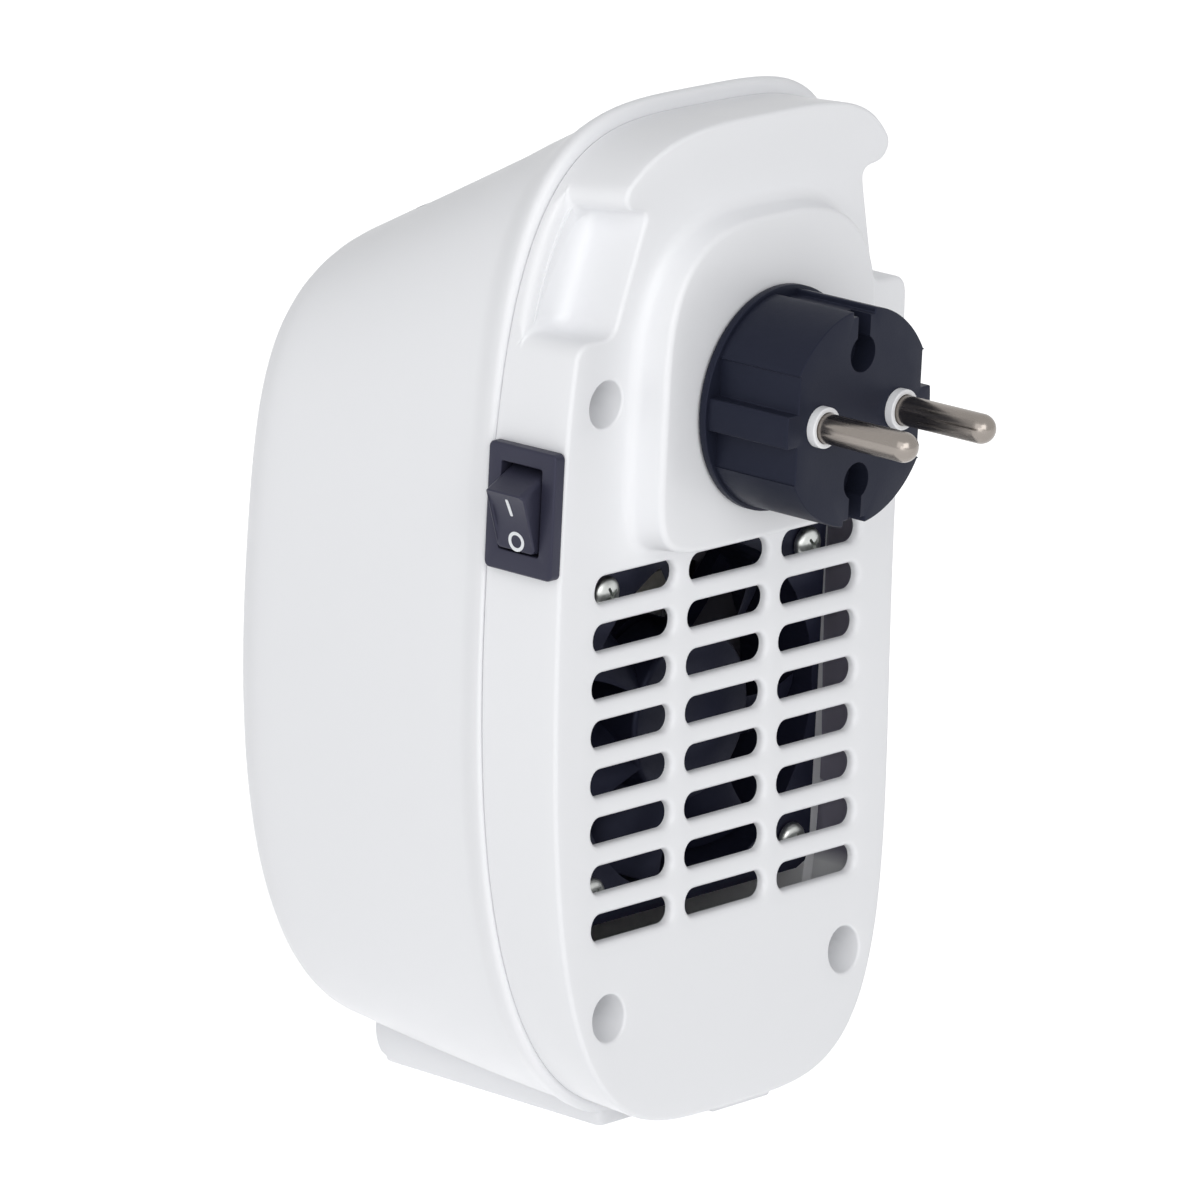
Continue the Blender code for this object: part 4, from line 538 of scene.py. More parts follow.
def outward(loop):
    """Unit normals of a counterclockwise loop, pointing out of it."""
    ahead = np.roll(loop, -1, axis=0) - np.roll(loop, 1, axis=0)
    ahead /= np.maximum(np.linalg.norm(ahead, axis=1), 1e-12)[:, None]
    return np.column_stack([ahead[:, 1], -ahead[:, 0]])


def grow(loop, distance):
    """Loop moved outward by a distance, or by one distance for each point."""
    return loop + outward(loop) * np.broadcast_to(distance, len(loop))[:, None]


def at(loop, y):
    return np.column_stack([loop[:, 0], np.broadcast_to(y, len(loop)), loop[:, 1]])


def level(y):
    """Depth function of a flat face."""
    return lambda z: y + 0.0 * z


def on(loop, depth, shift=0.0):
    """Loop laid on the surface depth(z), or shifted along Y from it."""
    return at(loop, depth(loop[:, 1]) + shift)


def arc(centre, radius, start, end, steps):
    turn = np.linspace(start, end, steps)
    return np.column_stack([centre[0] + radius * np.cos(turn), centre[1] + radius * np.sin(turn)])


def circle(centre, radius, steps):
    return arc(centre, radius, 0.0, 2.0 * math.pi, steps + 1)[:-1]


def round_rect(centre, half_x, half_z, radius, steps=6):
    loops = []
    for side_x, side_z, turn in ((1, 1, 0.0), (-1, 1, 0.5), (-1, -1, 1.0), (1, -1, 1.5)):
        middle = (centre[0] + side_x * (half_x - radius), centre[1] + side_z * (half_z - radius))
        loops.append(arc(middle, radius, math.pi * turn, math.pi * (turn + 0.5), steps))
    return np.vstack(loops)


def bar_loop(centre, half_x, half_z, turn=0.0):
    loop = round_rect((0.0, 0.0), half_x, half_z, 0.9 * min(half_x, half_z), 4)
    spin = np.array(((math.cos(turn), math.sin(turn)), (-math.sin(turn), math.cos(turn))))
    return loop @ spin + np.array(centre)


def quarter(steps, first=0):
    """Angles from 0 to a quarter turn, or without the first."""
    return [0.5 * math.pi * step / steps for step in range(first, steps + 1)]


def bend(radius, steps, first=0):
    """How far a rounded edge has gone in and still has to rise, at each step of a quarter turn."""
    return [(radius * (1.0 - math.cos(turn)), radius * (1.0 - math.sin(turn)))
            for turn in quarter(steps, first)]


def brow(loop, depth, radius, steps, first=1, way=1.0):
    """Rings over a rounded outer edge, from its side wall to the face at depth(z)."""
    return [on(grow(loop, -inward), depth, -way * below) for inward, below in bend(radius, steps, first)]


def rim_rings(loop, depth, radius, steps, way=1.0):
    """Rings over the rounded edge of a hole, from the face at depth(z) to its wall."""
    return [on(grow(loop, wider), depth, -way * below) for below, wider in bend(radius, steps)]


def mouth(surface, loop, depth, edge, low, steps):
    """Rounded edge of a hole and its straight wall down to a depth; returns both end rings."""
    return surface.band([*rim_rings(loop, depth, edge, steps), on(loop, low)])


def spaced(points, travelled, count):
    """The same open line with count points, at equal steps of a travelled measure."""
    wanted = np.linspace(0.0, travelled[-1], count)
    return np.column_stack([np.interp(wanted, travelled, points[:, axis]) for axis in (0, 1)])


def respaced(points, count):
    """The same open line with count points at equal distances."""
    length = np.linalg.norm(np.diff(points, axis=0), axis=1)
    return spaced(points, np.concatenate([[0.0], np.cumsum(length)]), count)


def spread(points, count):
    """The same open line with count points, closer together where it bends."""
    step = np.diff(points, axis=0)
    length = np.linalg.norm(step, axis=1)
    turning = np.abs(np.gradient(np.unwrap(np.arctan2(step[:, 1], step[:, 0]))))
    weight = length / length.sum() + BEND_SHARE * turning / turning.sum()
    return spaced(points, np.concatenate([[0.0], np.cumsum(weight)]), count)


def corner(before, point, after, radius, steps=9):
    """Arc that rounds the corner of a line that passes through three points."""
    first, second = [np.subtract(other, point) / np.linalg.norm(np.subtract(other, point))
                     for other in (before, after)]
    half = 0.5 * math.acos(float(np.clip(first @ second, -1.0, 1.0)))
    middle = np.add(point, (first + second) / np.linalg.norm(first + second) * radius / math.sin(half))
    touch = [np.add(point, way * radius / math.tan(half)) - middle for way in (first, second)]
    start, end = [math.atan2(spot[1], spot[0]) for spot in touch]
    turn = (end - start + math.pi) % (2.0 * math.pi) - math.pi
    return arc(middle, radius, start, start + turn, steps)


def soft_line(points, radii, steps):
    """Line of points whose corners are rounded by the given radii."""
    line = [points[0]]
    for before, point, after, radius in zip(points, points[1:], points[2:], radii):
        line += corner(before, point, after, radius, steps).tolist() if radius else [point]
    return [*line, points[-1]]


# Case shape

def plate_y(z):
    curl = CURL * np.clip((np.asarray(z) - CURL_Z) / CURL_HEIGHT, 0.0, 1.0) ** 2
    return PLATE_Y + (np.asarray(z) - DISH_Z) ** 2 / DISH_REACH + curl


def inner_plate_y(z):
    return plate_y(z) - PLATE_WALL


def seam_y(z):
    rise = np.asarray(z) - SEAM_BOW_Z
    return SEAM_Y + rise ** 2 / np.where(rise > 0.0, SEAM_REACH_UP, SEAM_REACH_DOWN)


def front_y(z):
    return FRONT_Y + (np.asarray(z) - FRONT_BULGE_Z) ** 2 / FRONT_BULGE_REACH


def superellipse(half_width, up, down, middle_z, power_up, power_down, turn):
    sine, cosine = np.sin(turn), np.cos(turn)
    power = np.where(sine >= 0.0, power_up, power_down)
    reach = np.where(sine >= 0.0, up, down)
    x = half_width * np.sign(cosine) * np.abs(cosine) ** (2.0 / power)
    z = middle_z + reach * np.sign(sine) * np.abs(sine) ** (2.0 / power)
    return np.column_stack([x, z])


def half_line(half_width, up, down, power_up, power_down):
    """Right half of an outline from its lowest to its highest point, with its normals."""
    turn = np.linspace(-0.5 * math.pi, 0.5 * math.pi, 4001)
    line = superellipse(half_width, up, down, CASE_MIDDLE_Z, power_up, power_down, turn)
    normal = outward(line)
    normal[[0, -1]] = ((0.0, -1.0), (0.0, 1.0))
    return line, normal


def split_line(line, low, high):
    return spread(line[:low + 1], BELOW_POINTS), spread(line[high:], ABOVE_POINTS)


def half_outlines():
    """Right halves of the seam, of the plate and of the plate with the finger grip, point by point."""
    seam, _ = half_line(CASE_HALF_WIDTH, CASE_UP, CASE_DOWN, OUTLINE_POWER_UP, OUTLINE_POWER_DOWN)
    plate, normal = half_line(CASE_HALF_WIDTH - BACK_TAPER, CASE_UP + BACK_RISE, CASE_DOWN - BACK_LIFT,
                              BACK_POWER_UP, BACK_POWER_DOWN)
    low_centres = plate - normal * GRIP_SHOULDER_RADIUS
    low = int(np.searchsorted(low_centres[:, 1], GRIP_SHOULDER_Z - GRIP_SHOULDER_RADIUS))
    tip_centres = plate - normal * GRIP_TIP_RADIUS
    high = int(np.searchsorted(tip_centres[:, 1], GRIP_TIP_Z + GRIP_TIP_RADIUS))
    start, end = [math.atan2(normal[index][1], normal[index][0]) for index in (low, high)]
    shoulder = arc(low_centres[low], GRIP_SHOULDER_RADIUS, start, 0.5 * math.pi, 10)
    lower = (GRIP_INNER_LOW_X, GRIP_SHOULDER_Z)
    upper = (GRIP_INNER_TOP_X, GRIP_TOP_Z)
    slant = math.atan2(GRIP_TIP_Z - GRIP_TOP_Z, tip_centres[high][0] - GRIP_INNER_TOP_X)
    tip = arc(tip_centres[high], GRIP_TIP_RADIUS, slant - 0.5 * math.pi, end, 14)
    notch = np.vstack([shoulder, corner(shoulder[-1], lower, upper, GRIP_LOW_RADIUS),
                       corner(lower, upper, tip[0], GRIP_NECK_RADIUS), tip])
    marks = (plate[low], plate[high] - (0.0, GRIP_SAG))
    same = [int(np.argmin(np.linalg.norm(seam - point, axis=1))) for point in marks]
    plate_ends = split_line(plate, low, high)
    halves = []
    for middle, (first, last) in ((seam[same[0]:same[1] + 1], split_line(seam, *same)),
                                  (plate[low:high + 1], plate_ends), (notch, plate_ends)):
        halves.append(np.vstack([first[:-1], respaced(middle, NOTCH_POINTS), last[1:]]))
    return halves


def mirrored(half):
    return np.vstack([half, half[1:-1][::-1] * np.array((-1.0, 1.0))])


SEAM_OUTLINE, PLATE_OUTLINE, GRIPPED = [mirrored(half) for half in half_outlines()]
GRIP_SHIFT = GRIPPED - PLATE_OUTLINE
CROSS = SEAM_OUTLINE[:, 0] / CASE_HALF_WIDTH
RISE = (SEAM_OUTLINE[:, 1] - CASE_MIDDLE_Z) / np.where(SEAM_OUTLINE[:, 1] > CASE_MIDDLE_Z, CASE_UP, CASE_DOWN)
TOP_SHARE = np.clip(RISE, 0.0, 1.0) ** FLARE_POWER
FLARE = FLARE_PROUD + FLARE_TOP * TOP_SHARE
BOSS_OUTLINE = spread(superellipse(BOSS_HALF_WIDTH, BOSS_HALF_HEIGHT, BOSS_HALF_HEIGHT, BOSS_MIDDLE_Z,
                                   BOSS_POWER_UP, BOSS_POWER_DOWN,
                                   np.linspace(-0.5 * math.pi, 1.5 * math.pi, 6001)), 151)[:-1]


def case_loop(inset, width=CASE_HALF_WIDTH, up=CASE_UP, down=CASE_DOWN):
    reach = np.where(RISE > 0.0, up - inset, down - inset)
    return np.column_stack([(width - inset) * CROSS, CASE_MIDDLE_Z + reach * RISE])


def side_loop(below_plate):
    """Outline of the side wall at a distance in front of the plate, without the grips."""
    z = PLATE_OUTLINE[:, 1]
    share = np.clip(1.0 - below_plate / (plate_y(z) - seam_y(z)), 0.0, 1.0)[:, None]
    return SEAM_OUTLINE * (1.0 - share) + PLATE_OUTLINE * share


def tongue_loop(inset):
    return case_loop(inset, up=CASE_UP - TONGUE_LENGTH * FRONT_DROP / (SEAM_Y - FRONT_Y))


def slot_places():
    return [((column - 0.5 * (SLOT_COLUMNS - 1)) * SLOT_PITCH_X, FAN_Z + SLOT_TOP_RISE - row * SLOT_PITCH_Z)
            for column in range(SLOT_COLUMNS) for row in range(SLOT_ROWS)]


def screw_places():
    places = []
    for across, along in CASE_SCREW_SHARES:
        x = across * CASE_HALF_WIDTH
        z = CASE_MIDDLE_Z + along * (CASE_UP if along > 0.0 else CASE_DOWN)
        places += [(x, z), (-x, z)]
    return places


def recess_floor(z):
    return float(seam_y(z)) + RECESS_WALL + GAP


# Rear shell

def grip_rings():
    """Rings from the side band over the grip floor and up its walls."""
    apart = np.linalg.norm(GRIP_SHIFT, axis=1)
    notch = np.clip(apart / GRIP_FADE, 0.0, 1.0)
    notch = notch * notch * (3.0 - 2.0 * notch)
    way = GRIP_SHIFT / np.maximum(apart, 1e-9)[:, None]
    normal = outward(GRIPPED) * np.clip(apart / GRIP_NORMAL_FADE, 0.0, 1.0)[:, None]
    fillet = np.minimum(GRIP_FILLET, 0.6 * apart)
    lip = np.minimum(GRIP_LIP, 0.3 * apart)
    start = way * lip[:, None]
    foot = GRIP_SHIFT + normal * fillet[:, None]
    path = [(way * inward[:, None], -below, step)
            for step, (inward, below) in enumerate(bend(lip, 4))]
    path += [(start + (foot - start) * 0.25 * step, 0.0, 5 + step) for step in range(1, 5)]
    path += [(GRIP_SHIFT + normal * away[:, None], rise, 10 + step)
             for step, (rise, away) in enumerate(bend(fillet, 5, 1))]
    rings = []
    for shift, rise, order in path:
        below = GRIP_DEPTH - rise * notch + (GRIP_LIP - RING_STEP * order) * (1.0 - notch)
        loop = side_loop(below) + shift
        rings.append(on(loop, plate_y, -below))
    return rings


def rear_outside(surface):
    """Outside of the rear shell from the seam to the edge of the plate; returns both end rings."""
    rings = [on(case_loop(inset), seam_y, behind) for behind, inset in bend(SEAM_EDGE, 3)]
    grip = grip_rings()
    start = rings[-1][:, 1]
    for share in (0.25, 0.5, 0.75):
        depth = start + (grip[0][:, 1] - start) * share
        rings.append(at(side_loop(plate_y(PLATE_OUTLINE[:, 1]) - depth), depth))
    rings += grip
    below = plate_y(grip[-1][:, 2]) - grip[-1][:, 1]
    for share in (0.25, 0.5, 0.75, 1.0):
        depth = below + (PLATE_EDGE_RADIUS - below) * share
        rings.append(on(side_loop(depth) + GRIP_SHIFT, plate_y, -depth))
    return surface.band(rings + brow(rings[-1][:, (0, 2)], plate_y, PLATE_EDGE_RADIUS, 5))


def rear_inside(surface, start):
    """Lip that goes into the front shell, then the inner walls; returns the inner plate's ring."""
    lip, throat = tongue_loop(WALL + GAP), tongue_loop(WALL + GAP + TONGUE_WALL)
    wide, inner = case_loop(WALL), grow(GRIPPED, -WALL)
    rings = [on(loop, seam_y, rise)
             for loop, rise in ((lip, 0.1 * GAP), (lip, -TONGUE_LENGTH), (throat, -TONGUE_LENGTH),
                                (throat, WALL), (wide, WALL * 1.2))]
    for loop, rise in ((wide, 0.0), (wide + (inner - wide) * 0.5, INNER_STEP), (inner, 2.0 * INNER_STEP)):
        rings.append(at(loop, plate_y(loop[:, 1]) - GRIP_DEPTH - WALL - GRIP_INNER_DROP + rise))
    return surface.band([*rings, on(inner, inner_plate_y)], start)[1]


def rear_boss(surface):
    """Platform's wall from its fillet to its face, with the bore for the plug's neck."""
    upward = np.clip((outward(BOSS_OUTLINE)[:, 1] + 1.0) / 0.8, 0.0, 1.0)
    flare = BOSS_FLARE_BELOW + (BOSS_FLARE - BOSS_FLARE_BELOW) * upward
    rings = [on(grow(BOSS_OUTLINE, BOSS_DRAFT + wider), plate_y, rise) for rise, wider in bend(flare, 6)]
    start = rings[-1][:, 1]
    for share in (0.4, 0.8):
        loop = grow(BOSS_OUTLINE, BOSS_DRAFT * (1.0 - share))
        rings.append(at(loop, start + (BOSS_Y - BOSS_EDGE - start) * share))
    foot, top = surface.band(rings + brow(BOSS_OUTLINE, level(BOSS_Y), BOSS_EDGE, 5, 0))
    bore = circle((0.0, PLUG_Z), PLUG_NECK_RADIUS + GAP, 56)
    edge, end = mouth(surface, bore, level(BOSS_Y), BORE_EDGE, level(BOSS_Y - PLATE_WALL), 2)
    surface.fill(top, [edge], level(BOSS_Y), BOSS_STEP)
    hollow = grow(BOSS_OUTLINE, -WALL)
    ceiling, root = surface.band([at(hollow, BOSS_Y - PLATE_WALL), on(hollow, inner_plate_y)])
    surface.fill(ceiling, [end], level(BOSS_Y - PLATE_WALL), FLAT_STEP)
    return foot, root


def rear_holes(surface):
    """Air slots and screw recesses; returns their rims in the plate and inside it."""
    holes = []
    for place in slot_places():
        loop = round_rect(place, 0.5 * SLOT_WIDTH, 0.5 * SLOT_HEIGHT, 0.48 * SLOT_HEIGHT, 7)
        holes.append(mouth(surface, loop, plate_y, SLOT_EDGE, inner_plate_y, 3))
    for place in screw_places():
        floor = recess_floor(place[1])
        edge, end = mouth(surface, circle(place, RECESS_RADIUS, 36), plate_y, RECESS_EDGE, level(floor), 4)
        surface.cap(end)
        tube = circle(place, RECESS_RADIUS + RECESS_WALL, 36)
        root, back = surface.band([on(tube, inner_plate_y), at(tube, floor - RECESS_WALL)])
        surface.cap(back)
        holes.append((edge, root))
    return holes


def rear_shell():
    surface = Surface()
    seam, edge = rear_outside(surface)
    inner_edge = rear_inside(surface, seam)
    outer_holes, inner_holes = zip(*rear_holes(surface), rear_boss(surface))
    surface.fill(edge, outer_holes, plate_y, PLATE_STEP)
    surface.fill(inner_edge, inner_holes, inner_plate_y, INNER_PLATE_STEP)
    item = surface.build("rear_shell_skin")
    ledge_y = float(seam_y(0.0)) + 0.5 * LEDGE_DEPTH
    ledge = box("ledge", (LEDGE_NEAR_X - LEDGE_FAR_X, LEDGE_DEPTH, LEDGE_HEIGHT),
                (0.5 * (LEDGE_NEAR_X + LEDGE_FAR_X), ledge_y, 0.5 * LEDGE_HEIGHT), LEDGE_EDGE)
    boolean(item, [ledge], "UNION")
    window = box("window", (WALL * 8.0, HOUSING_WIDTH + 2.0 * GAP, HOUSING_HEIGHT + 2.0 * GAP),
                 (CASE_HALF_WIDTH, SWITCH_Y, SWITCH_Z))
    return boolean(item, [window])


# Front shell

def front_sizes(share, rim=1.0):
    """Half width, reach up and reach down of the front shell at a share of its depth."""
    width = CASE_HALF_WIDTH + rim * (RIM_SIDE - FLARE_PROUD)
    up = CASE_UP + rim * (RIM_TOP - FLARE_PROUD + CROWN_REAR)
    down = CASE_DOWN + rim * (RIM_BOTTOM - FLARE_PROUD)
    return (width + (CASE_HALF_WIDTH - FRONT_TAPER - width) * share ** 1.3,
            up + (CASE_UP - FRONT_DROP + rim * CROWN_FRONT - up) * share,
            down + (CASE_DOWN + RIM_BOTTOM - FRONT_LIFT - down) * share ** 1.5)


def front_ring(share, inset, shift=0.0, rim=1.0):
    loop = case_loop(inset, *front_sizes(share, rim))
    z = loop[:, 1]
    return at(loop, seam_y(z) * (1.0 - share) + front_y(z) * share + shift)


def front_outside(depth, straight):
    """Rings from the seam over the flared rim and the sides to the front's edge."""
    flare_length = FLARE_LENGTH + FLARE_TOP_LENGTH * TOP_SHARE
    step_out = np.linalg.norm(case_loop(-FLARE, *front_sizes(0.0)) - case_loop(0.0), axis=1)
    edge = RIM_EDGE + RIM_ROUND_SHARE * np.maximum(step_out - RIM_SIDE, 0.0)
    rings = [front_ring(ahead / depth, inset - FLARE, -SEAM_GAP)
             for ahead, inset in bend(edge, 7)]
    for step in range(1, 8):
        share = step / 7.0
        ahead = edge + (flare_length - edge) * share
        swell = FLARE * 0.5 * (1.0 + math.cos(math.pi * share))
        rings.append(front_ring(ahead / depth, -swell, -SEAM_GAP * (1.0 - share)))
    start = 1.2 * flare_length / depth
    rings += [front_ring(start + (straight - start) * step, 0.0) for step in np.linspace(0.0, 1.0, 16)]
    return rings + front_brow(FRONT_EDGE_RADIUS, 0.0, 9, depth, straight)


def front_brow(radius, inset, steps, depth, straight, rim=1.0):
    return [front_ring(straight + radius * math.sin(turn) / depth, inset + radius * (1.0 - math.cos(turn)),
                       0.0, rim) for turn in quarter(steps, 1)]


def front_shell():
    surface = Surface()
    depth = SEAM_Y - FRONT_Y
    straight = 1.0 - FRONT_EDGE_RADIUS / depth
    seam, face = surface.band(front_outside(depth, straight))
    hollow = [front_ring(0.0, WALL, -SEAM_GAP, 0.0)]
    hollow += [front_ring(float(share), WALL, 0.0, 0.0) for share in np.linspace(0.05, straight, 6)]
    hollow += front_brow(FRONT_EDGE_RADIUS - WALL, WALL, 4, depth, straight, 0.0)
    inner_face = surface.band(hollow, seam)[1]
    for ring, step in ((face, FRONT_STEP), (inner_face, HIDDEN_STEP)):
        points = np.array([surface.points[index] for index in ring])
        extra = float(np.mean(points[:, 1] - front_y(points[:, 2])))
        surface.fill(ring, [], lambda z: float(front_y(z)) + extra, step)
    item = surface.build("front_shell_skin")
    boolean(item, [foot_tool()], "UNION")
    return boolean(item, [panel_tool(), outlet_tool()])


def outlet_tool():
    """Cutter for the air outlet, with a rounded mouth that follows the bulged face."""
    loop = round_rect((0.0, FAN_Z), OUTLET_HALF + GAP, OUTLET_HALF + GAP, OUTLET_CORNER, 9)
    wide = on(grow(loop, OUTLET_EDGE + OUTLET_TOOL_WIDER), front_y, -OUTLET_TOOL_AHEAD)
    rings = rim_rings(loop, lambda z: front_y(z) - OUTLET_TOOL_LIFT, OUTLET_EDGE, 4, -1.0)
    return loft([wide, *rings, on(loop, front_y, OUTLET_TOOL_DEPTH)], True).build("outlet_tool")


def foot_ring(height, share, inset=0.0):
    """Outline of the foot at a height, which changes toward the shell as the share grows."""
    rear = float(seam_y(height)) - SEAM_GAP - FOOT_CLEARANCE
    front = FOOT_FLAT_FRONT_Y + (FOOT_FRONT_Y - FOOT_FLAT_FRONT_Y) * math.sqrt(share)
    loop = round_rect((0.0, 0.5 * (rear + front)), FOOT_HALF_WIDTH + FOOT_SPREAD * share ** 2,
                      0.5 * (rear - front), FOOT_CORNER)
    return at(grow(loop, -inset) if inset else loop, height)[:, (0, 2, 1)]


def foot_tool():
    """Foot as a stack of outlines, with a rounded lower edge."""
    rings = [foot_ring(height, 0.0, inset) for height, inset in bend(FOOT_EDGE, 4)]
    rings += [foot_ring(FOOT_EDGE + (FOOT_HEIGHT - FOOT_EDGE) * float(share), float(share))
              for share in np.linspace(0.08, 1.0, 8)]
    return loft(rings).build("foot_tool")


def slope_frame():
    """Place and turn of the sloping top at the control panel."""
    here = (SEAM_Y - PANEL_CENTRE_Y) / (SEAM_Y - FRONT_Y)
    points = []
    for share in (here - SLOPE_STEP_SHARE, here + SLOPE_STEP_SHARE):
        z = CASE_MIDDLE_Z + front_sizes(share)[1]
        points.append(Vector((0.0, float(seam_y(z)) * (1.0 - share) + float(front_y(z)) * share, z)))
    along = (points[0] - points[1]).normalized()
    turn = Matrix.Rotation(math.atan2(along.z, along.y), 4, "X")
    sunk = Matrix.Translation(Vector((0.0, 0.0, -PANEL_SINK)))
    return Matrix.Translation((points[0] + points[1]) * 0.5) @ turn @ sunk


def facing(plane):
    """Turns what is drawn facing local +Y, with Z up, onto a plane that faces its own third axis."""
    return plane @ Matrix(((1, 0, 0, 0), (0, 0, 1, 0), (0, 1, 0, 0), (0, 0, 0, 1)))


SLOPE = facing(slope_frame())
SIDE = facing(Matrix(((0, 0, 1, CASE_HALF_WIDTH), (1, 0, 0, SWITCH_Y), (0, 1, 0, SWITCH_Z), (0, 0, 0, 1))))


def panel_tool():
    """Cutter for the panel's opening, wider at its mouth."""
    loop = round_rect((0.0, 0.0), 0.5 * PANEL_WIDTH + GAP, 0.5 * PANEL_HEIGHT + GAP, PANEL_CORNER, 8)
    rings = [at(loop, -PANEL_TOOL_DEPTH), at(loop, PANEL_SINK - PANEL_MOUTH_EDGE)]
    rings += [at(grow(loop, wider), PANEL_SINK - below) for wider, below in bend(PANEL_MOUTH_EDGE, 4, 1)]
    rings.append(at(grow(loop, PANEL_MOUTH_EDGE + PANEL_TOOL_WIDER), PANEL_SINK + PANEL_TOOL_HEIGHT))
    return loft(rings).move(SLOPE).build("panel_tool")


# Plug

def plug_outline():
    """Round body with a groove above and below, and a guide rib between two flats on each side."""
    groove = 0.5 * PLUG_GROOVE_WIDTH
    floor = PLUG_RADIUS - PLUG_GROOVE_DEPTH
    lip, low, rib = [math.asin(reach / PLUG_RADIUS)
                     for reach in (groove, PLUG_FLAT_HALF_HEIGHT, PLUG_RIB_HALF_HEIGHT)]
    quadrant = [(0.0, floor), (-groove, floor)]
    quadrant += arc((0.0, 0.0), PLUG_RADIUS, 0.5 * math.pi + lip, math.pi - low, 16).tolist()
    quadrant += [(-PLUG_FLAT_X, PLUG_FLAT_HALF_HEIGHT), (-PLUG_FLAT_X, PLUG_RIB_HALF_HEIGHT)]
    quadrant += arc((0.0, 0.0), PLUG_RADIUS, math.pi - rib, math.pi, 4).tolist()
    radii = [PLUG_RIB_ROUND if index in (0, 1, 17, 18, 19) else 0.0 for index in range(len(quadrant) - 2)]
    line = np.array(soft_line(quadrant, radii, 5))
    left = np.vstack([line, line[:-1][::-1] * np.array((1.0, -1.0))])
    return mirrored(left) + np.array((0.0, PLUG_Z))


def keyhole_tool(side):
    reach = 0.5 * KEYHOLE_SLOT_WIDTH
    opening = math.asin(reach / KEYHOLE_RADIUS)
    loop = arc((0.0, KEYHOLE_Z), KEYHOLE_RADIUS, 0.5 * math.pi + opening, 2.5 * math.pi - opening, 26)
    loop = np.vstack([loop, [(reach, PLUG_RADIUS + WALL), (-reach, PLUG_RADIUS + WALL)]])
    if side < 0:
        loop = loop[::-1] * np.array((1.0, -1.0))
    loop = loop + np.array((0.0, PLUG_Z))
    return loft([at(loop, PLUG_FACE - KEYHOLE_DEPTH), at(loop, PLUG_FACE + WALL)]).build("keyhole_tool")


def plug_body():
    """Collar and neck turned, body drawn out from its outline, with sockets for the sleeves."""
    surface = Surface()
    low = BOSS_Y + GAP
    high = BOSS_Y + PLUG_COLLAR_LENGTH
    turned = [(PLUG_NECK_RADIUS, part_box("plug_body")[0].y), (PLUG_NECK_RADIUS, low),
              (PLUG_COLLAR_RADIUS - PLUG_EDGE, low)]
    turned += [(PLUG_COLLAR_RADIUS - inward, low + ahead) for ahead, inward in bend(PLUG_EDGE, 3, 1)]
    turned += [(PLUG_COLLAR_RADIUS - inward, high - below) for inward, below in bend(0.3 * PLUG_EDGE, 3)]
    first, collar = surface.band([at(circle((0.0, PLUG_Z), radius, 72), y) for radius, y in turned])
    surface.cap(first)
    outline = plug_outline()
    root, front = surface.band([at(outline, high), *brow(outline, level(PLUG_FACE), PLUG_FACE_EDGE, 3, 0)])
    surface.fill(collar, [root], level(high), COLLAR_STEP)
    sockets = []
    for side in (1, -1):
        loop = circle((side * PIN_HALF_PITCH, PLUG_Z), SLEEVE_RADIUS + SLEEVE_FIT, 40)
        edge, end = surface.band([at(loop, PLUG_FACE), at(loop, PLUG_FACE - SLEEVE_ROOT)])
        surface.cap(end)
        sockets.append(edge)
    surface.fill(front, sockets, level(PLUG_FACE), FLAT_STEP)
    item = surface.build("plug_body_moulded", 30.0)
    return boolean(item, [keyhole_tool(1), keyhole_tool(-1)], angle=30.0)


def plug_pin(number, side):
    tip = PLUG_FACE + PIN_LENGTH
    profile = [(PIN_RADIUS * math.sin(a), tip - PIN_RADIUS * (1.0 - math.cos(a)))
               for a in np.linspace(0.02, 0.5 * math.pi, 12)]
    profile += [(PIN_RADIUS, PLUG_FACE + PIN_COLLAR), (PIN_RADIUS, PLUG_FACE - PIN_ROOT)]
    return lathe(f"pin_round_{number}", profile, (side * PIN_HALF_PITCH, PLUG_Z), 48, 40.0)


def plug_sleeve(number, side):
    """Thin white tube round the pin's root, with soft edges."""
    inner = PIN_RADIUS + SLEEVE_BORE_FIT
    root = PLUG_FACE - SLEEVE_ROOT + SLEEVE_FLOOR_GAP
    points = [(SLEEVE_RADIUS, root), (SLEEVE_RADIUS, PLUG_FACE + SLEEVE_PROUD),
              (inner, PLUG_FACE + SLEEVE_PROUD), (inner, root)]
    line = soft_line(points, [SLEEVE_EDGE, SLEEVE_EDGE], 5)
    centre = (side * PIN_HALF_PITCH, PLUG_Z)
    surface = Surface()
    first, last = surface.band([at(circle(centre, radius, 48), y) for radius, y in line])
    surface.bridge(last, first)
    return surface.build(f"sleeve_round_{number}", 40.0)


def make_plug():
    finish_piece(plug_body(), "plug", "plug_black", "plug_body")
    for number, side in ((1, 1), (2, -1)):
        finish_piece(plug_pin(number, side), "plug", "pin_nickel", f"plug_pin_{number}")
        finish_piece(plug_sleeve(number, side), "plug", "sleeve_white", f"pin_sleeve_{number}")


# Switch; its pieces are drawn facing local +Y and turned to the side wall

def rocker_reach(rise):
    """Half length that just clears the opening when that end is pressed in."""
    clear = ROCKER_OPENING_HALF - GAP
    return (clear - rise * math.sin(ROCKER_REST_TILT)) / math.cos(ROCKER_REST_TILT)


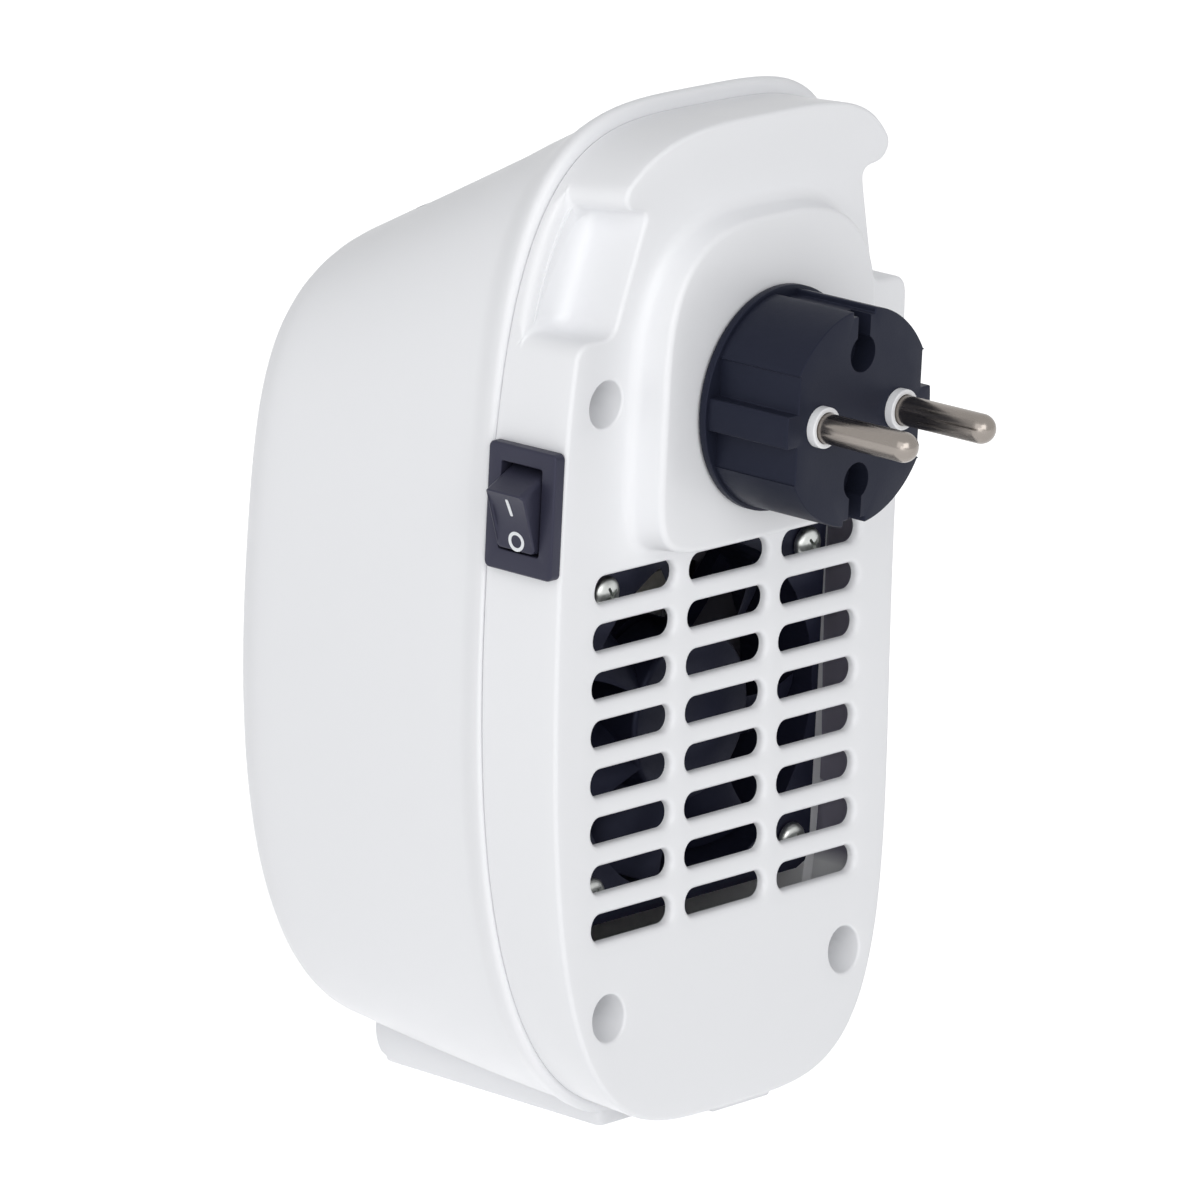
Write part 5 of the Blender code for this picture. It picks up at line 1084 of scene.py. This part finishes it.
def switch_bezel():
    """Raised frame on the side wall, its opening, and the housing behind it."""
    surface = Surface()
    outer = round_rect((0.0, -BEZEL_DROP), 0.5 * BEZEL_WIDTH, 0.5 * BEZEL_HEIGHT, BEZEL_CORNER)
    base = -WALL_LEAN * (outer[:, 0] + 0.5 * BEZEL_WIDTH) + BEZEL_LIFT
    back, face = surface.band([at(outer, base), at(outer, BEZEL_FACE - BEZEL_EDGE),
                               *brow(outer, level(BEZEL_FACE), BEZEL_EDGE, 4)])
    opening = round_rect((0.0, 0.0), 0.5 * ROCKER_WIDTH + 0.9 * GAP, ROCKER_OPENING_HALF, HOUSING_CORNER)
    near, far = [BEZEL_FACE - depth for depth in OPENING_DEPTHS]
    edge, end = mouth(surface, opening, level(BEZEL_FACE), OPENING_EDGE, level(near), 3)
    surface.cap(surface.band([at(opening, far)], end)[1])
    surface.fill(face, [edge], level(BEZEL_FACE), FLAT_STEP)
    body = round_rect((0.0, 0.0), 0.5 * HOUSING_WIDTH, 0.5 * HOUSING_HEIGHT, HOUSING_CORNER)
    depth = GAP + 0.5 * BEZEL_PROUD - HOUSING_DEPTH
    surface.cap(surface.band([at(body, HOUSING_START), at(body, depth)], back)[1])
    return surface.move(SIDE).build("switch_bezel", 35.0)


def rocker_frame():
    pivot = CASE_HALF_WIDTH + BEZEL_FACE - ROCKER_PIVOT_DEPTH
    place = Matrix.Translation(Vector((pivot, SWITCH_Y, SWITCH_Z)))
    outward_x = Matrix(((0, 1, 0, 0), (1, 0, 0, 0), (0, 0, 1, 0), (0, 0, 0, 1)))
    return place @ Matrix.Rotation(ROCKER_REST_TILT, 4, "Y") @ outward_x


def rocker_face(along):
    """Height of the rocker's hollow face over its pivot."""
    end = rocker_reach(ROCKER_END_RISE)
    hollow = (ROCKER_END_RISE - ROCKER_MIDDLE_RISE) * np.minimum(np.abs(along) / end, 1.0) ** 2
    return ROCKER_MIDDLE_RISE + hollow + ROCKER_FACE_SLANT * np.asarray(along)


def switch_rocker():
    surface = Surface()
    half = 0.5 * ROCKER_WIDTH
    middle, end = rocker_reach(0.0), rocker_reach(ROCKER_END_RISE)
    rings = []
    for rise in ROCKER_RISES:
        length = middle + (end - middle) * (max(rise, 0.0) / ROCKER_END_RISE)
        length = length if rise >= 0.0 else math.sqrt(length ** 2 - rise ** 2)
        rings.append(at(round_rect((0.0, 0.0), half, length, ROCKER_CORNER, 8), rise))
    top = round_rect((0.0, 0.0), half, end, ROCKER_CORNER, 8)
    rings += brow(top, lambda z: rocker_face(top[:, 1]), ROCKER_EDGE, 4, 0)
    base, face = surface.band(rings)
    surface.cap(base)
    surface.fill(face, [], rocker_face, ROCKER_STEP)
    return surface.move(rocker_frame()).build("rocker_cap", 38.0)


def mark(name, outer, inner, height, matrix, proud):
    """Printed mark: a thin plate inside a loop, or between two, that follows a face."""
    surface = Surface()
    first, last = surface.band([on(outer, height, -proud), on(outer, height, proud)])
    if inner is None:
        surface.faces += [tuple(first), tuple(last)]
    else:
        end = surface.band([on(inner, height, proud), on(inner, height, -proud)], last)[1]
        surface.bridge(end, first)
    return surface.move(matrix).build(name, 60.0)


def make_switch():
    finish_piece(switch_bezel(), "case", "switch_black", "switch_housing")
    finish_piece(switch_rocker(), "rocker", "switch_black", "switch_rocker")
    marks = {"line": (bar_loop(LINE_PLACE, 0.5 * MARK_WIDTH, MARK_REACH), None),
             "ring": (circle(RING_PLACE, MARK_REACH, 40), circle(RING_PLACE, MARK_REACH - MARK_WIDTH, 40))}
    for name, loops in marks.items():
        item = mark(f"rocker_mark_{name}", *loops, rocker_face, rocker_frame(), MARK_PROUD)
        finish_piece(item, "rocker", "switch_black", look="print_white")


# Fan and screws

def pan_screw(name, x, seat, z, length, head_radius, way, turn):
    """Pan head on its seat with a cross recess, and a threaded shank that goes the other way."""
    shank = SCREW_RADIUS - GAP
    profile = [(head_radius * math.sin(a) ** 0.9,
                seat + way * SCREW_HEAD_HEIGHT * (0.25 + 0.75 * math.cos(a)))
               for a in np.linspace(0.06, 0.5 * math.pi, 9)]
    profile.append((head_radius, seat))
    turns = int(length / SCREW_PITCH)
    for step in range(turns):
        along = seat - way * length * (step + 0.5) / turns
        profile += [(shank, along + way * THREAD_HALF_WIDTH), (shank - THREAD_DEPTH, along),
                    (shank, along - way * THREAD_HALF_WIDTH)]
    profile.append((0.4 * shank, seat - way * length))
    item = lathe(name, profile, (x, z), 28, 34.0)
    tools = []
    for spin in (turn, turn + 0.5 * math.pi):
        rings = [at(bar_loop((x, z), reach * head_radius, 0.5 * SCREW_CROSS_WIDTH * width, spin),
                    seat + way * depth * SCREW_HEAD_HEIGHT)
                 for reach, width, depth in ((0.26, 0.5, 0.28), (0.58, 1.0, 1.15))]
        tools.append(loft(rings).build("cross"))
    return boolean(item, tools, angle=34.0)


def blade_ring(share, turn):
    """Section of a blade at a share of its length, thinner toward its edges."""
    radius = BLADE_ROOT_RADIUS + (BLADE_TIP_RADIUS - BLADE_ROOT_RADIUS) * share
    pitch = BLADE_ROOT_ANGLE + (BLADE_TIP_ANGLE - BLADE_ROOT_ANGLE) * share
    sweep = BLADE_SWEEP * share ** 2
    points = []
    for a in np.linspace(0.0, 2.0 * math.pi, 25)[:-1]:
        along = 0.5 * BLADE_CHORD * math.cos(a)
        camber = BLADE_CAMBER * (1.0 - (2.0 * along / BLADE_CHORD) ** 2)
        across = 0.5 * BLADE_THICKNESS * math.sin(a) * (0.55 + 0.45 * abs(math.sin(a))) + camber
        swing = (along * math.cos(pitch) - across * math.sin(pitch)) / radius + sweep + turn
        y = HUB_BACK_Y - 0.5 * HUB_LENGTH + along * math.sin(pitch) + across * math.cos(pitch)
        points.append((radius * math.sin(swing), y, FAN_Z + radius * math.cos(swing)))
    return points


def blade(index):
    turn = 2.0 * math.pi * index / BLADE_COUNT
    rings = [blade_ring(float(share), turn) for share in np.linspace(0.0, 1.0, 9)]
    return loft(rings).build(f"blade_{index}", 50.0)


def fan_impeller():
    inner = HUB_RADIUS - HUB_WALL
    bore = SHAFT_RADIUS + GAP
    dimple, floor, middle = [HUB_BACK_Y - depth for depth in (HUB_DIMPLE, HUB_WALL, 0.5 * HUB_WALL)]
    profile = [(AXIS_RADIUS, dimple), (0.32 * HUB_RADIUS, dimple), (0.36 * HUB_RADIUS, HUB_BACK_Y)]
    profile += soft_shoulder(HUB_RADIUS, HUB_BACK_Y, HUB_EDGE)
    profile += [(HUB_RADIUS, HUB_BACK_Y - HUB_LENGTH), (inner, HUB_BACK_Y - HUB_LENGTH), (inner, floor),
                (bore, floor), (bore, middle), (AXIS_RADIUS, middle)]
    hub = lathe("impeller_moulded", profile, (0.0, FAN_Z), 56, 34.0)
    return boolean(hub, [blade(index) for index in range(BLADE_COUNT)], "UNION", 40.0)


def soft_shoulder(radius, top, edge):
    """Rounded edge of a turned piece, from its face outward and down."""
    return [(radius - edge * (1.0 - math.sin(a)), top - edge * (1.0 - math.cos(a)))
            for a in np.linspace(0.0, 0.5 * math.pi, 6)]


def make_fan():
    finish_piece(fan_impeller(), "fan_rotor", "fan_black", "fan_impeller")
    screws = []
    for number in range(4):
        x, z = [way * FAN_HOLE_HALF_PITCH for way in ((1, 1), (1, -1), (-1, 1), (-1, -1))[number]]
        screws.append(("fan", number + 1, x, FAN_BACK_Y + GAP, FAN_Z + z, FAN_SCREW_LENGTH,
                       SCREW_HEAD_RADIUS, 1.0, 0.35 + 0.7 * (number + 1)))
    for number, (x, z) in enumerate(screw_places(), 1):
        screws.append(("case", number, x, recess_floor(z) + GAP, z, CASE_SCREW_LENGTH,
                       CASE_SCREW_HEAD_RADIUS, 1.0, 0.2 + 0.5 * number))
    for number in (1, 2):
        low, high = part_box(f"retainer_screw_{number}")
        seat = low.y + SCREW_HEAD_HEIGHT
        screws.append(("retainer", number, 0.5 * (low.x + high.x), seat, 0.5 * (low.z + high.z),
                       high.y - seat, SCREW_HEAD_RADIUS, -1.0, 0.9 * number))
    for kind, number, *sizes in screws:
        item = pan_screw(f"{kind}_screw_pan_{number}", *sizes)
        body = "plug" if kind == "retainer" else "case"
        finish_piece(item, body, "steel", f"{kind}_screw_{number}", look="screw_steel")


# Outlet grille

def outlet_grille():
    """Square frame with rounded corners, seven tilted louvres and an upright bar behind them."""
    front = float(front_y(FAN_Z)) + OUTLET_FLANGE
    back = front + OUTLET_DEPTH
    inner = OUTLET_HALF - OUTLET_FRAME
    outer_loop = round_rect((0.0, FAN_Z), OUTLET_HALF, OUTLET_HALF, OUTLET_CORNER, 9)
    inner_loop = round_rect((0.0, FAN_Z), inner, inner, OUTLET_CORNER - OUTLET_FRAME, 9)
    surface = Surface()
    first, last = surface.band([at(outer_loop, back), at(outer_loop, front + OUTLET_FRAME_EDGE),
                                *brow(outer_loop, level(front), OUTLET_FRAME_EDGE, 4, way=-1.0),
                                *rim_rings(inner_loop, level(front), OUTLET_FRAME_EDGE, 4, way=-1.0),
                                at(inner_loop, back)])
    surface.bridge(last, first)
    item = surface.build("outlet_louvres", 34.0)
    pitch = 2.0 * inner / (LOUVRE_COUNT + 1)
    middle = 0.5 * (front + back)
    length = 2.0 * inner + OUTLET_FRAME
    tools = [box("louvre", (length, LOUVRE_CHORD, LOUVRE_THICKNESS),
                 (0.0, middle, FAN_Z - inner + pitch * number), LOUVRE_EDGE,
                 Matrix.Rotation(LOUVRE_TILT, 4, "X")) for number in range(1, LOUVRE_COUNT + 1)]
    tools.append(box("grille_bar", (LOUVRE_THICKNESS * 1.2, LOUVRE_THICKNESS * 2.0, length),
                     (0.0, back - LOUVRE_THICKNESS, FAN_Z), BAR_EDGE))
    return boolean(item, tools, "UNION", 34.0)


# Control panel, drawn facing local +Y and turned to the sloping top

def button_places():
    first = -0.5 * (len(BUTTON_NAMES) - 1) * BUTTON_PITCH
    return [(first + index * BUTTON_PITCH, -BUTTON_DOWN) for index in range(len(BUTTON_NAMES))]


def window_loop(fit):
    return round_rect((0.0, WINDOW_UP), 0.5 * WINDOW_WIDTH + fit, 0.5 * WINDOW_HEIGHT + fit, WINDOW_CORNER, 5)


def control_panel():
    surface = Surface()
    outer = round_rect((0.0, 0.0), 0.5 * PANEL_WIDTH, 0.5 * PANEL_HEIGHT, PANEL_CORNER, 9)
    face_level, back_level = level(PANEL_PROUD), level(PANEL_BACK)
    back, face = surface.band([at(outer, PANEL_BACK), at(outer, PANEL_PROUD - PANEL_EDGE),
                               *brow(outer, face_level, PANEL_EDGE, 4)])
    holes = [mouth(surface, window_loop(WINDOW_FIT), face_level, WINDOW_EDGE, back_level, 3)]
    for place in button_places():
        loop = circle(place, BUTTON_RADIUS + GAP, 40)
        holes.append(mouth(surface, loop, face_level, BUTTON_HOLE_EDGE, back_level, 3))
    rims, ends = zip(*holes)
    surface.fill(face, rims, face_level, FLAT_STEP)
    surface.fill(back, ends, back_level, HIDDEN_STEP)
    return surface.move(SLOPE).build("panel_fascia", 34.0)


def display_window():
    loop = window_loop(-WINDOW_FIT)
    rings = [at(loop, PANEL_PROUD - 0.5 * PANEL_THICKNESS), at(loop, PANEL_PROUD - WINDOW_EDGE),
             at(grow(loop, -WINDOW_EDGE), PANEL_PROUD + WINDOW_FIT)]
    return loft(rings).move(SLOPE).build("display_glass", 34.0)


def button_cap(name, place):
    """Round cap with a soft rim and a shallow hollow, on the flange that holds it in."""
    base = PANEL_BACK - GAP - BUTTON_FLANGE
    profile = [(AXIS_RADIUS, BUTTON_TOP - BUTTON_HOLLOW)]
    profile += [(BUTTON_RADIUS * share, BUTTON_TOP - BUTTON_HOLLOW * (1.0 - share ** 2))
                for share in (0.3, 0.55, 0.75)]
    profile += soft_shoulder(BUTTON_RADIUS, BUTTON_TOP, BUTTON_EDGE)
    profile += [(BUTTON_RADIUS, base + BUTTON_FLANGE), (BUTTON_RADIUS + BUTTON_FLANGE, base + BUTTON_FLANGE),
                (BUTTON_RADIUS + BUTTON_FLANGE, base), (AXIS_RADIUS, base)]
    cap = loft([at(circle(place, radius, 40), y) for radius, y in profile], True)
    return cap.move(SLOPE).build(f"button_{name}_cap", 34.0)


def icon_loops(name, place):
    """Outer and inner loops of the thin shapes that make a button's generic icon."""
    x, z = place
    half = 0.5 * ICON_STROKE
    if name == "minus":
        return [(bar_loop(place, MINUS_REACH, half), None)]
    if name == "plus":
        cross = [(-8, 1), (-8, -1), (-1, -1), (-1, -8), (1, -8), (1, -1), (8, -1), (8, 1), (1, 1), (1, 8),
                 (-1, 8), (-1, 1)]
        return [(np.array(cross) * half * 0.9 + np.array(place), None)]
    if name == "timer":
        return [(bar_loop((x, z + CLOCK_HAND_UP), half, CLOCK_HAND), None),
                (circle(place, CLOCK_RADIUS, 32), circle(place, CLOCK_RADIUS - ICON_STROKE, 32))]
    outer, inner = [arc(place, radius, 0.5 * math.pi + POWER_OPENING, 2.5 * math.pi - POWER_OPENING, 30)
                    for radius in (POWER_RADIUS, POWER_RADIUS - ICON_STROKE)]
    return [(np.vstack([outer, inner[::-1]]), None), (bar_loop((x, z + POWER_BAR_UP), half, POWER_BAR), None)]


def make_panel():
    finish_piece(outlet_grille(), "case", "grille_black", "outlet_grille")
    finish_piece(control_panel(), "case", "panel_black", "control_panel")
    finish_piece(display_window(), "case", "window_smoke", "display_window")
    for name, place in zip(BUTTON_NAMES, button_places()):
        body = f"button_{name}_cap"
        finish_piece(button_cap(name, place), body, "button_grey", f"button_{name}")
        for number, loops in enumerate(icon_loops(name, place), 1):
            item = mark(f"icon_{name}_{number}", *loops, level(BUTTON_TOP - ICON_DEPTH), SLOPE, ICON_PROUD)
            finish_piece(item, body, "button_grey", look="print_white")


# Materials

# Local X times the normal's X, from where a face counts as the inside of a side wall and gets painted shade
INNER_SHADE_EDGE = (-0.0368, -0.0363)
LOOKS = {}


def feed(tree, socket, value):
    """Sets an input, or links it where the value is another node's output."""
    if isinstance(value, bpy.types.NodeSocket):
        tree.links.new(value, socket)
    else:
        socket.default_value = value


def add_node(tree, kind, **inputs):
    node = tree.nodes.new("ShaderNode" + kind)
    for name, value in inputs.items():
        feed(tree, node.inputs[name.replace("_", " ")], value)
    return node


def calculate(tree, operation, *values):
    node = add_node(tree, "Math")
    node.operation = operation
    for socket, value in zip(node.inputs, values):
        feed(tree, socket, value)
    return node.outputs[0]


class Look:
    """Node material with a few helpers; textures use the object's own coordinates in metres."""

    def __init__(self, name, colour, roughness, metallic=0.0, **inputs):
        self.material = LOOKS[name] = bpy.data.materials.new(name)
        self.material.use_nodes = True
        self.material.diffuse_color = (*colour, 1.0)
        self.tree = self.material.node_tree
        self.shader = self.tree.nodes["Principled BSDF"]
        self.colour = colour
        self.set(Base_Color=(*colour, 1.0), Roughness=roughness, Metallic=metallic, **inputs)
        self.place = add_node(self.tree, "TexCoord").outputs["Object"]

    def set(self, **inputs):
        for name, value in inputs.items():
            feed(self.tree, self.shader.inputs[name.replace("_", " ")], value)

    def noise(self, scale, detail=3.0, rough=0.55, place=None):
        return add_node(self.tree, "TexNoise", Vector=place or self.place, Scale=scale, Detail=detail,
                        Roughness=rough).outputs["Fac"]

    def ranged(self, source, low, high, start, end):
        return add_node(self.tree, "MapRange", Value=source, From_Min=start, From_Max=end, To_Min=low,
                        To_Max=high).outputs["Result"]

    def vary_roughness(self, source, low, high):
        self.set(Roughness=self.ranged(source, low, high, 0.3, 0.7))

    def vary_colour(self, source, first, start=0.35, end=0.65):
        """Blends from the first colour to the material's own as the source rises."""
        node = add_node(self.tree, "Mix")
        node.data_type = "RGBA"
        feed(self.tree, node.inputs["A"], (*first, 1.0))
        feed(self.tree, node.inputs["B"], (*self.colour, 1.0))
        feed(self.tree, node.inputs["Factor"], self.ranged(source, 0.0, 1.0, start, end))
        self.set(Base_Color=node.outputs["Result"])

    def shaded(self, factor):
        return tuple(value * factor for value in self.colour)

    def bump(self, source, distance):
        node = add_node(self.tree, "Bump", Height=source, Distance=distance, Strength=1.0)
        self.set(Normal=node.outputs["Normal"])


def plastic(name, colour, roughness, grain=1800.0, relief=0.00001, drift=0.025, inner_wall_shade=None, **inputs):
    """Moulded plastic with fine grain and uneven gloss; an inner wall shade is a darker colour painted inside
    the side walls as painted shade, where little light reaches.
    """
    look = Look(name, colour, roughness, **inputs)
    if inner_wall_shade:
        normal = add_node(look.tree, "NewGeometry").outputs["Normal"]
        across = [add_node(look.tree, "SeparateXYZ", Vector=source).outputs["X"]
                  for source in (look.place, normal)]
        # Painted shade: faces on the inside of the side walls blend to the darker colour
        look.vary_colour(calculate(look.tree, "MULTIPLY", *across), inner_wall_shade, *INNER_SHADE_EDGE)
    else:
        look.vary_colour(look.noise(24.0, 2.0), look.shaded(1.0 - drift))
    look.vary_roughness(look.noise(160.0, 4.0), roughness - 0.05, roughness + 0.05)
    look.bump(look.noise(grain, 2.0), relief)


def metal(name, colour, roughness, stretch=(1.0, 1.0, 1.0), lines=900.0, relief=0.000004):
    """Metal with fine drawn lines and uneven polish."""
    look = Look(name, colour, roughness, 1.0)
    place = add_node(look.tree, "Mapping", Vector=look.place, Scale=stretch).outputs["Vector"]
    look.vary_roughness(look.noise(lines, 3.0, 0.6, place), max(roughness - 0.07, 0.03), roughness + 0.08)
    look.vary_colour(look.noise(60.0, 3.0), look.shaded(0.88))
    look.bump(look.noise(1.6 * lines, 2.0, 0.5, place), relief)


def board(name, colour):
    """Circuit board: lacquer over faint copper tracks."""
    look = Look(name, colour, 0.35)
    tracks = add_node(look.tree, "TexVoronoi", Vector=look.place, Scale=420.0).outputs["Distance"]
    look.vary_colour(tracks, tuple(value * 1.7 + 0.01 for value in colour), 0.18, 0.24)
    look.bump(tracks, 0.00003)
    look.vary_roughness(look.noise(300.0), 0.28, 0.45)


def ceramic(name, colour):
    look = Look(name, colour, 0.75)
    look.vary_colour(look.noise(500.0, 5.0, 0.7), look.shaded(0.8))
    look.vary_roughness(look.noise(900.0), 0.65, 0.85)
    look.bump(look.noise(2600.0, 4.0), 0.00003)


def wound(name, colour):
    """Copper windings: fine even ridges round the fan's axis."""
    look = Look(name, colour, 0.35, 0.8)
    wave = add_node(look.tree, "TexWave", Vector=look.place, Scale=900.0)
    wave.bands_direction = "Y"
    look.bump(wave.outputs["Fac"], 0.0001)
    look.vary_colour(look.noise(200.0), look.shaded(0.7))


def make_looks():
    # The darker second colour is painted shade inside the shell's side walls
    plastic("shell_white", (0.862, 0.867, 0.884), 0.38, inner_wall_shade=(0.30, 0.285, 0.36))
    for shine, tint, *values in (
        (0.17, (0.68, 0.72, 1.0, 1.0), "plug_black", (0.0138, 0.0160, 0.0280), 0.42, 2600.0, 0.000012, 0.12),
        (0.36, (0.78, 0.78, 1.0, 1.0), "switch_black", (0.027, 0.0275, 0.046), 0.42, 2400.0, 0.000012, 0.10),
        (0.30, (0.65, 0.70, 1.0, 1.0), "fan_black", (0.013, 0.014, 0.028), 0.50, 1500.0, 0.00002, 0.15),
    ):
        plastic(*values, Specular_IOR_Level=shine, Specular_Tint=tint)
    for values in (
        ("sleeve_white", (0.86, 0.865, 0.88), 0.45),
        ("print_white", (0.80, 0.82, 0.84), 0.5),
        ("grille_black", (0.020, 0.020, 0.023), 0.45, 2000.0, 0.00002, 0.12),
        ("panel_black", (0.012, 0.012, 0.014), 0.20, 1200.0, 0.000004, 0.10),
        ("window_smoke", (0.006, 0.006, 0.008), 0.07, 300.0, 0.000002, 0.05),
        ("button_grey", (0.16, 0.16, 0.17), 0.38, 2200.0, 0.00001, 0.08),
        ("heater_black", (0.024, 0.022, 0.021), 0.60, 1200.0, 0.00003, 0.15),
        ("duct_grey", (0.17, 0.165, 0.21), 0.50, 1400.0, 0.00002),
        ("retainer_grey", (0.34, 0.34, 0.35), 0.50),
        ("led_display", (0.09, 0.09, 0.095), 0.35),
        ("relay_blue", (0.02, 0.06, 0.26), 0.32),
        ("block_green", (0.03, 0.20, 0.07), 0.42),
        ("lead_brown", (0.14, 0.06, 0.03), 0.42),
        ("lead_blue", (0.03, 0.10, 0.34), 0.42),
        ("lead_black", (0.022, 0.022, 0.024), 0.42),
        ("lead_red", (0.42, 0.03, 0.02), 0.42),
        ("lead_white", (0.70, 0.70, 0.69), 0.45),
    ):
        plastic(*values)
    for values in (
        ("pin_nickel", (0.31, 0.28, 0.255), 0.23, (1.0, 0.04, 1.0), 1400.0, 0.0000002),
        ("screw_steel", (0.66, 0.68, 0.66), 0.34),
        ("shaft_steel", (0.62, 0.62, 0.63), 0.25, (1.0, 0.05, 1.0)),
        ("tab_brass", (0.66, 0.50, 0.22), 0.30, (0.2, 1.0, 1.0)),
        ("fin_aluminium", (0.78, 0.79, 0.80), 0.32, (0.1, 1.0, 1.0), 1200.0, 0.00001),
    ):
        metal(*values)
    board("board_green", (0.02, 0.12, 0.05))
    ceramic("core_ceramic", (0.60, 0.58, 0.53))
    wound("stator_copper", (0.56, 0.26, 0.12))


KEPT_LOOKS = {
    "fan_frame": "fan_black", "fan_shaft": "shaft_steel", "fan_stator": "stator_copper",
    "air_duct": "duct_grey", "heater_frame": "heater_black", "ceramic_core": "core_ceramic",
    "fin_pack": "fin_aluminium", "heater_terminal": "tab_brass", "thermal_cutout": "shaft_steel",
    "switch_tab": "tab_brass", "plug_retainer": "retainer_grey", "control_board": "board_green",
    "power_board": "board_green", "led_display": "led_display", "relay": "relay_blue",
    "terminal_block": "block_green", "lead_live": "lead_brown", "lead_neutral": "lead_blue",
    "lead_switched": "lead_black", "lead_heater": "lead_white", "lead_fan": "lead_red",
    "lead_display": "lead_white",
}


def dress_kept_nodes():
    for name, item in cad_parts.items():
        for start, look in KEPT_LOOKS.items():
            if name.startswith(start):
                for slot in item.material_slots:
                    slot.material = LOOKS[look]


def finish_piece(piece, body, slot_name, *nodes, look=None):
    """Gives a piece its look, which is named as its slot unless another is given."""
    piece.data.materials.clear()
    piece.data.materials.append(LOOKS[look or slot_name])
    if nodes:
        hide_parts(*nodes)
    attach(piece, body)


# Studio

def make_camera():
    azimuth, elevation, roll = np.radians((CAMERA_AZIMUTH, CAMERA_ELEVATION, CAMERA_ROLL)).tolist()
    back = Vector((math.sin(azimuth) * math.cos(elevation), -math.cos(azimuth) * math.cos(elevation),
                   math.sin(elevation)))
    right = (-back).cross(Vector((0.0, 0.0, 1.0))).normalized()
    up = right.cross(-back)
    side = right * math.cos(roll) + up * math.sin(roll)
    top = -right * math.sin(roll) + up * math.cos(roll)
    place = back * CAMERA_DISTANCE + right * CAMERA_RIGHT + up * CAMERA_UP
    place = place + Vector((0.0, PLUG_FACE_Y, PLUG_Z))
    data = bpy.data.cameras.new("camera")
    data.lens = CAMERA_LENS
    data.sensor_width = SENSOR_WIDTH
    data.clip_start = 0.05
    data.clip_end = 50.0
    item = linked("camera", data)
    item.matrix_world = Matrix.Translation(place) @ Matrix((side, top, back)).transposed().to_4x4()
    bpy.context.scene.camera = item


def lamp(name, place, target, size, power):
    data = bpy.data.lights.new(name, "AREA")
    data.shape = "RECTANGLE"
    data.size, data.size_y = size
    data.energy = power
    turn = (Vector(target) - Vector(place)).to_track_quat("-Z", "Y").to_matrix().to_4x4()
    linked(name, data).matrix_world = Matrix.Translation(Vector(place)) @ turn


def seen_directly(tree):
    """1 for camera, glossy and transmission rays, 0 for the rest."""
    rays = add_node(tree, "LightPath").outputs
    seen = calculate(tree, "MAXIMUM", rays["Is Camera Ray"], rays["Is Glossy Ray"])
    return calculate(tree, "MAXIMUM", seen, rays["Is Transmission Ray"])


def make_world():
    world = bpy.data.worlds.new("studio")
    bpy.context.scene.world = world
    world.use_nodes = True
    tree = world.node_tree
    tree.nodes.clear()
    mix = add_node(tree, "MixShader", Fac=seen_directly(tree))
    for socket, colour, strength in ((mix.inputs[1], WORLD_COLOUR, WORLD_LIGHT), (mix.inputs[2], WHITE, 1.0)):
        feed(tree, socket, add_node(tree, "Background", Color=colour, Strength=strength).outputs[0])
    add_node(tree, "OutputWorld", Surface=mix.outputs[0])


def make_floor():
    """Floor whose own glow makes it white where it is seen directly; it keeps the object's shadow."""
    bm = bmesh.new()
    bmesh.ops.create_grid(bm, x_segments=1, y_segments=1, size=FLOOR_HALF)
    mesh = bpy.data.meshes.new("floor")
    bm.to_mesh(mesh)
    bm.free()
    floor = linked("floor", mesh)
    look = Look("floor_white", FLOOR_COLOUR, 1.0, Specular_IOR_Level=0.0, Emission_Color=WHITE)
    look.set(Emission_Strength=calculate(look.tree, "MULTIPLY_ADD", seen_directly(look.tree),
                                         FLOOR_LIFT - FLOOR_GLOW, FLOOR_GLOW))
    floor.data.materials.append(look.material)


# The whole scene

make_camera()
bpy.context.scene.view_settings.view_transform = "Standard"
make_world()
make_floor()
for lamp_name, values in LAMPS.items():
    lamp(lamp_name, *values)
make_looks()
finish_piece(rear_shell(), "case", "shell_white", "rear_shell")
finish_piece(front_shell(), "case", "shell_white", "front_shell")
make_plug()
make_switch()
make_fan()
make_panel()
dress_kept_nodes()
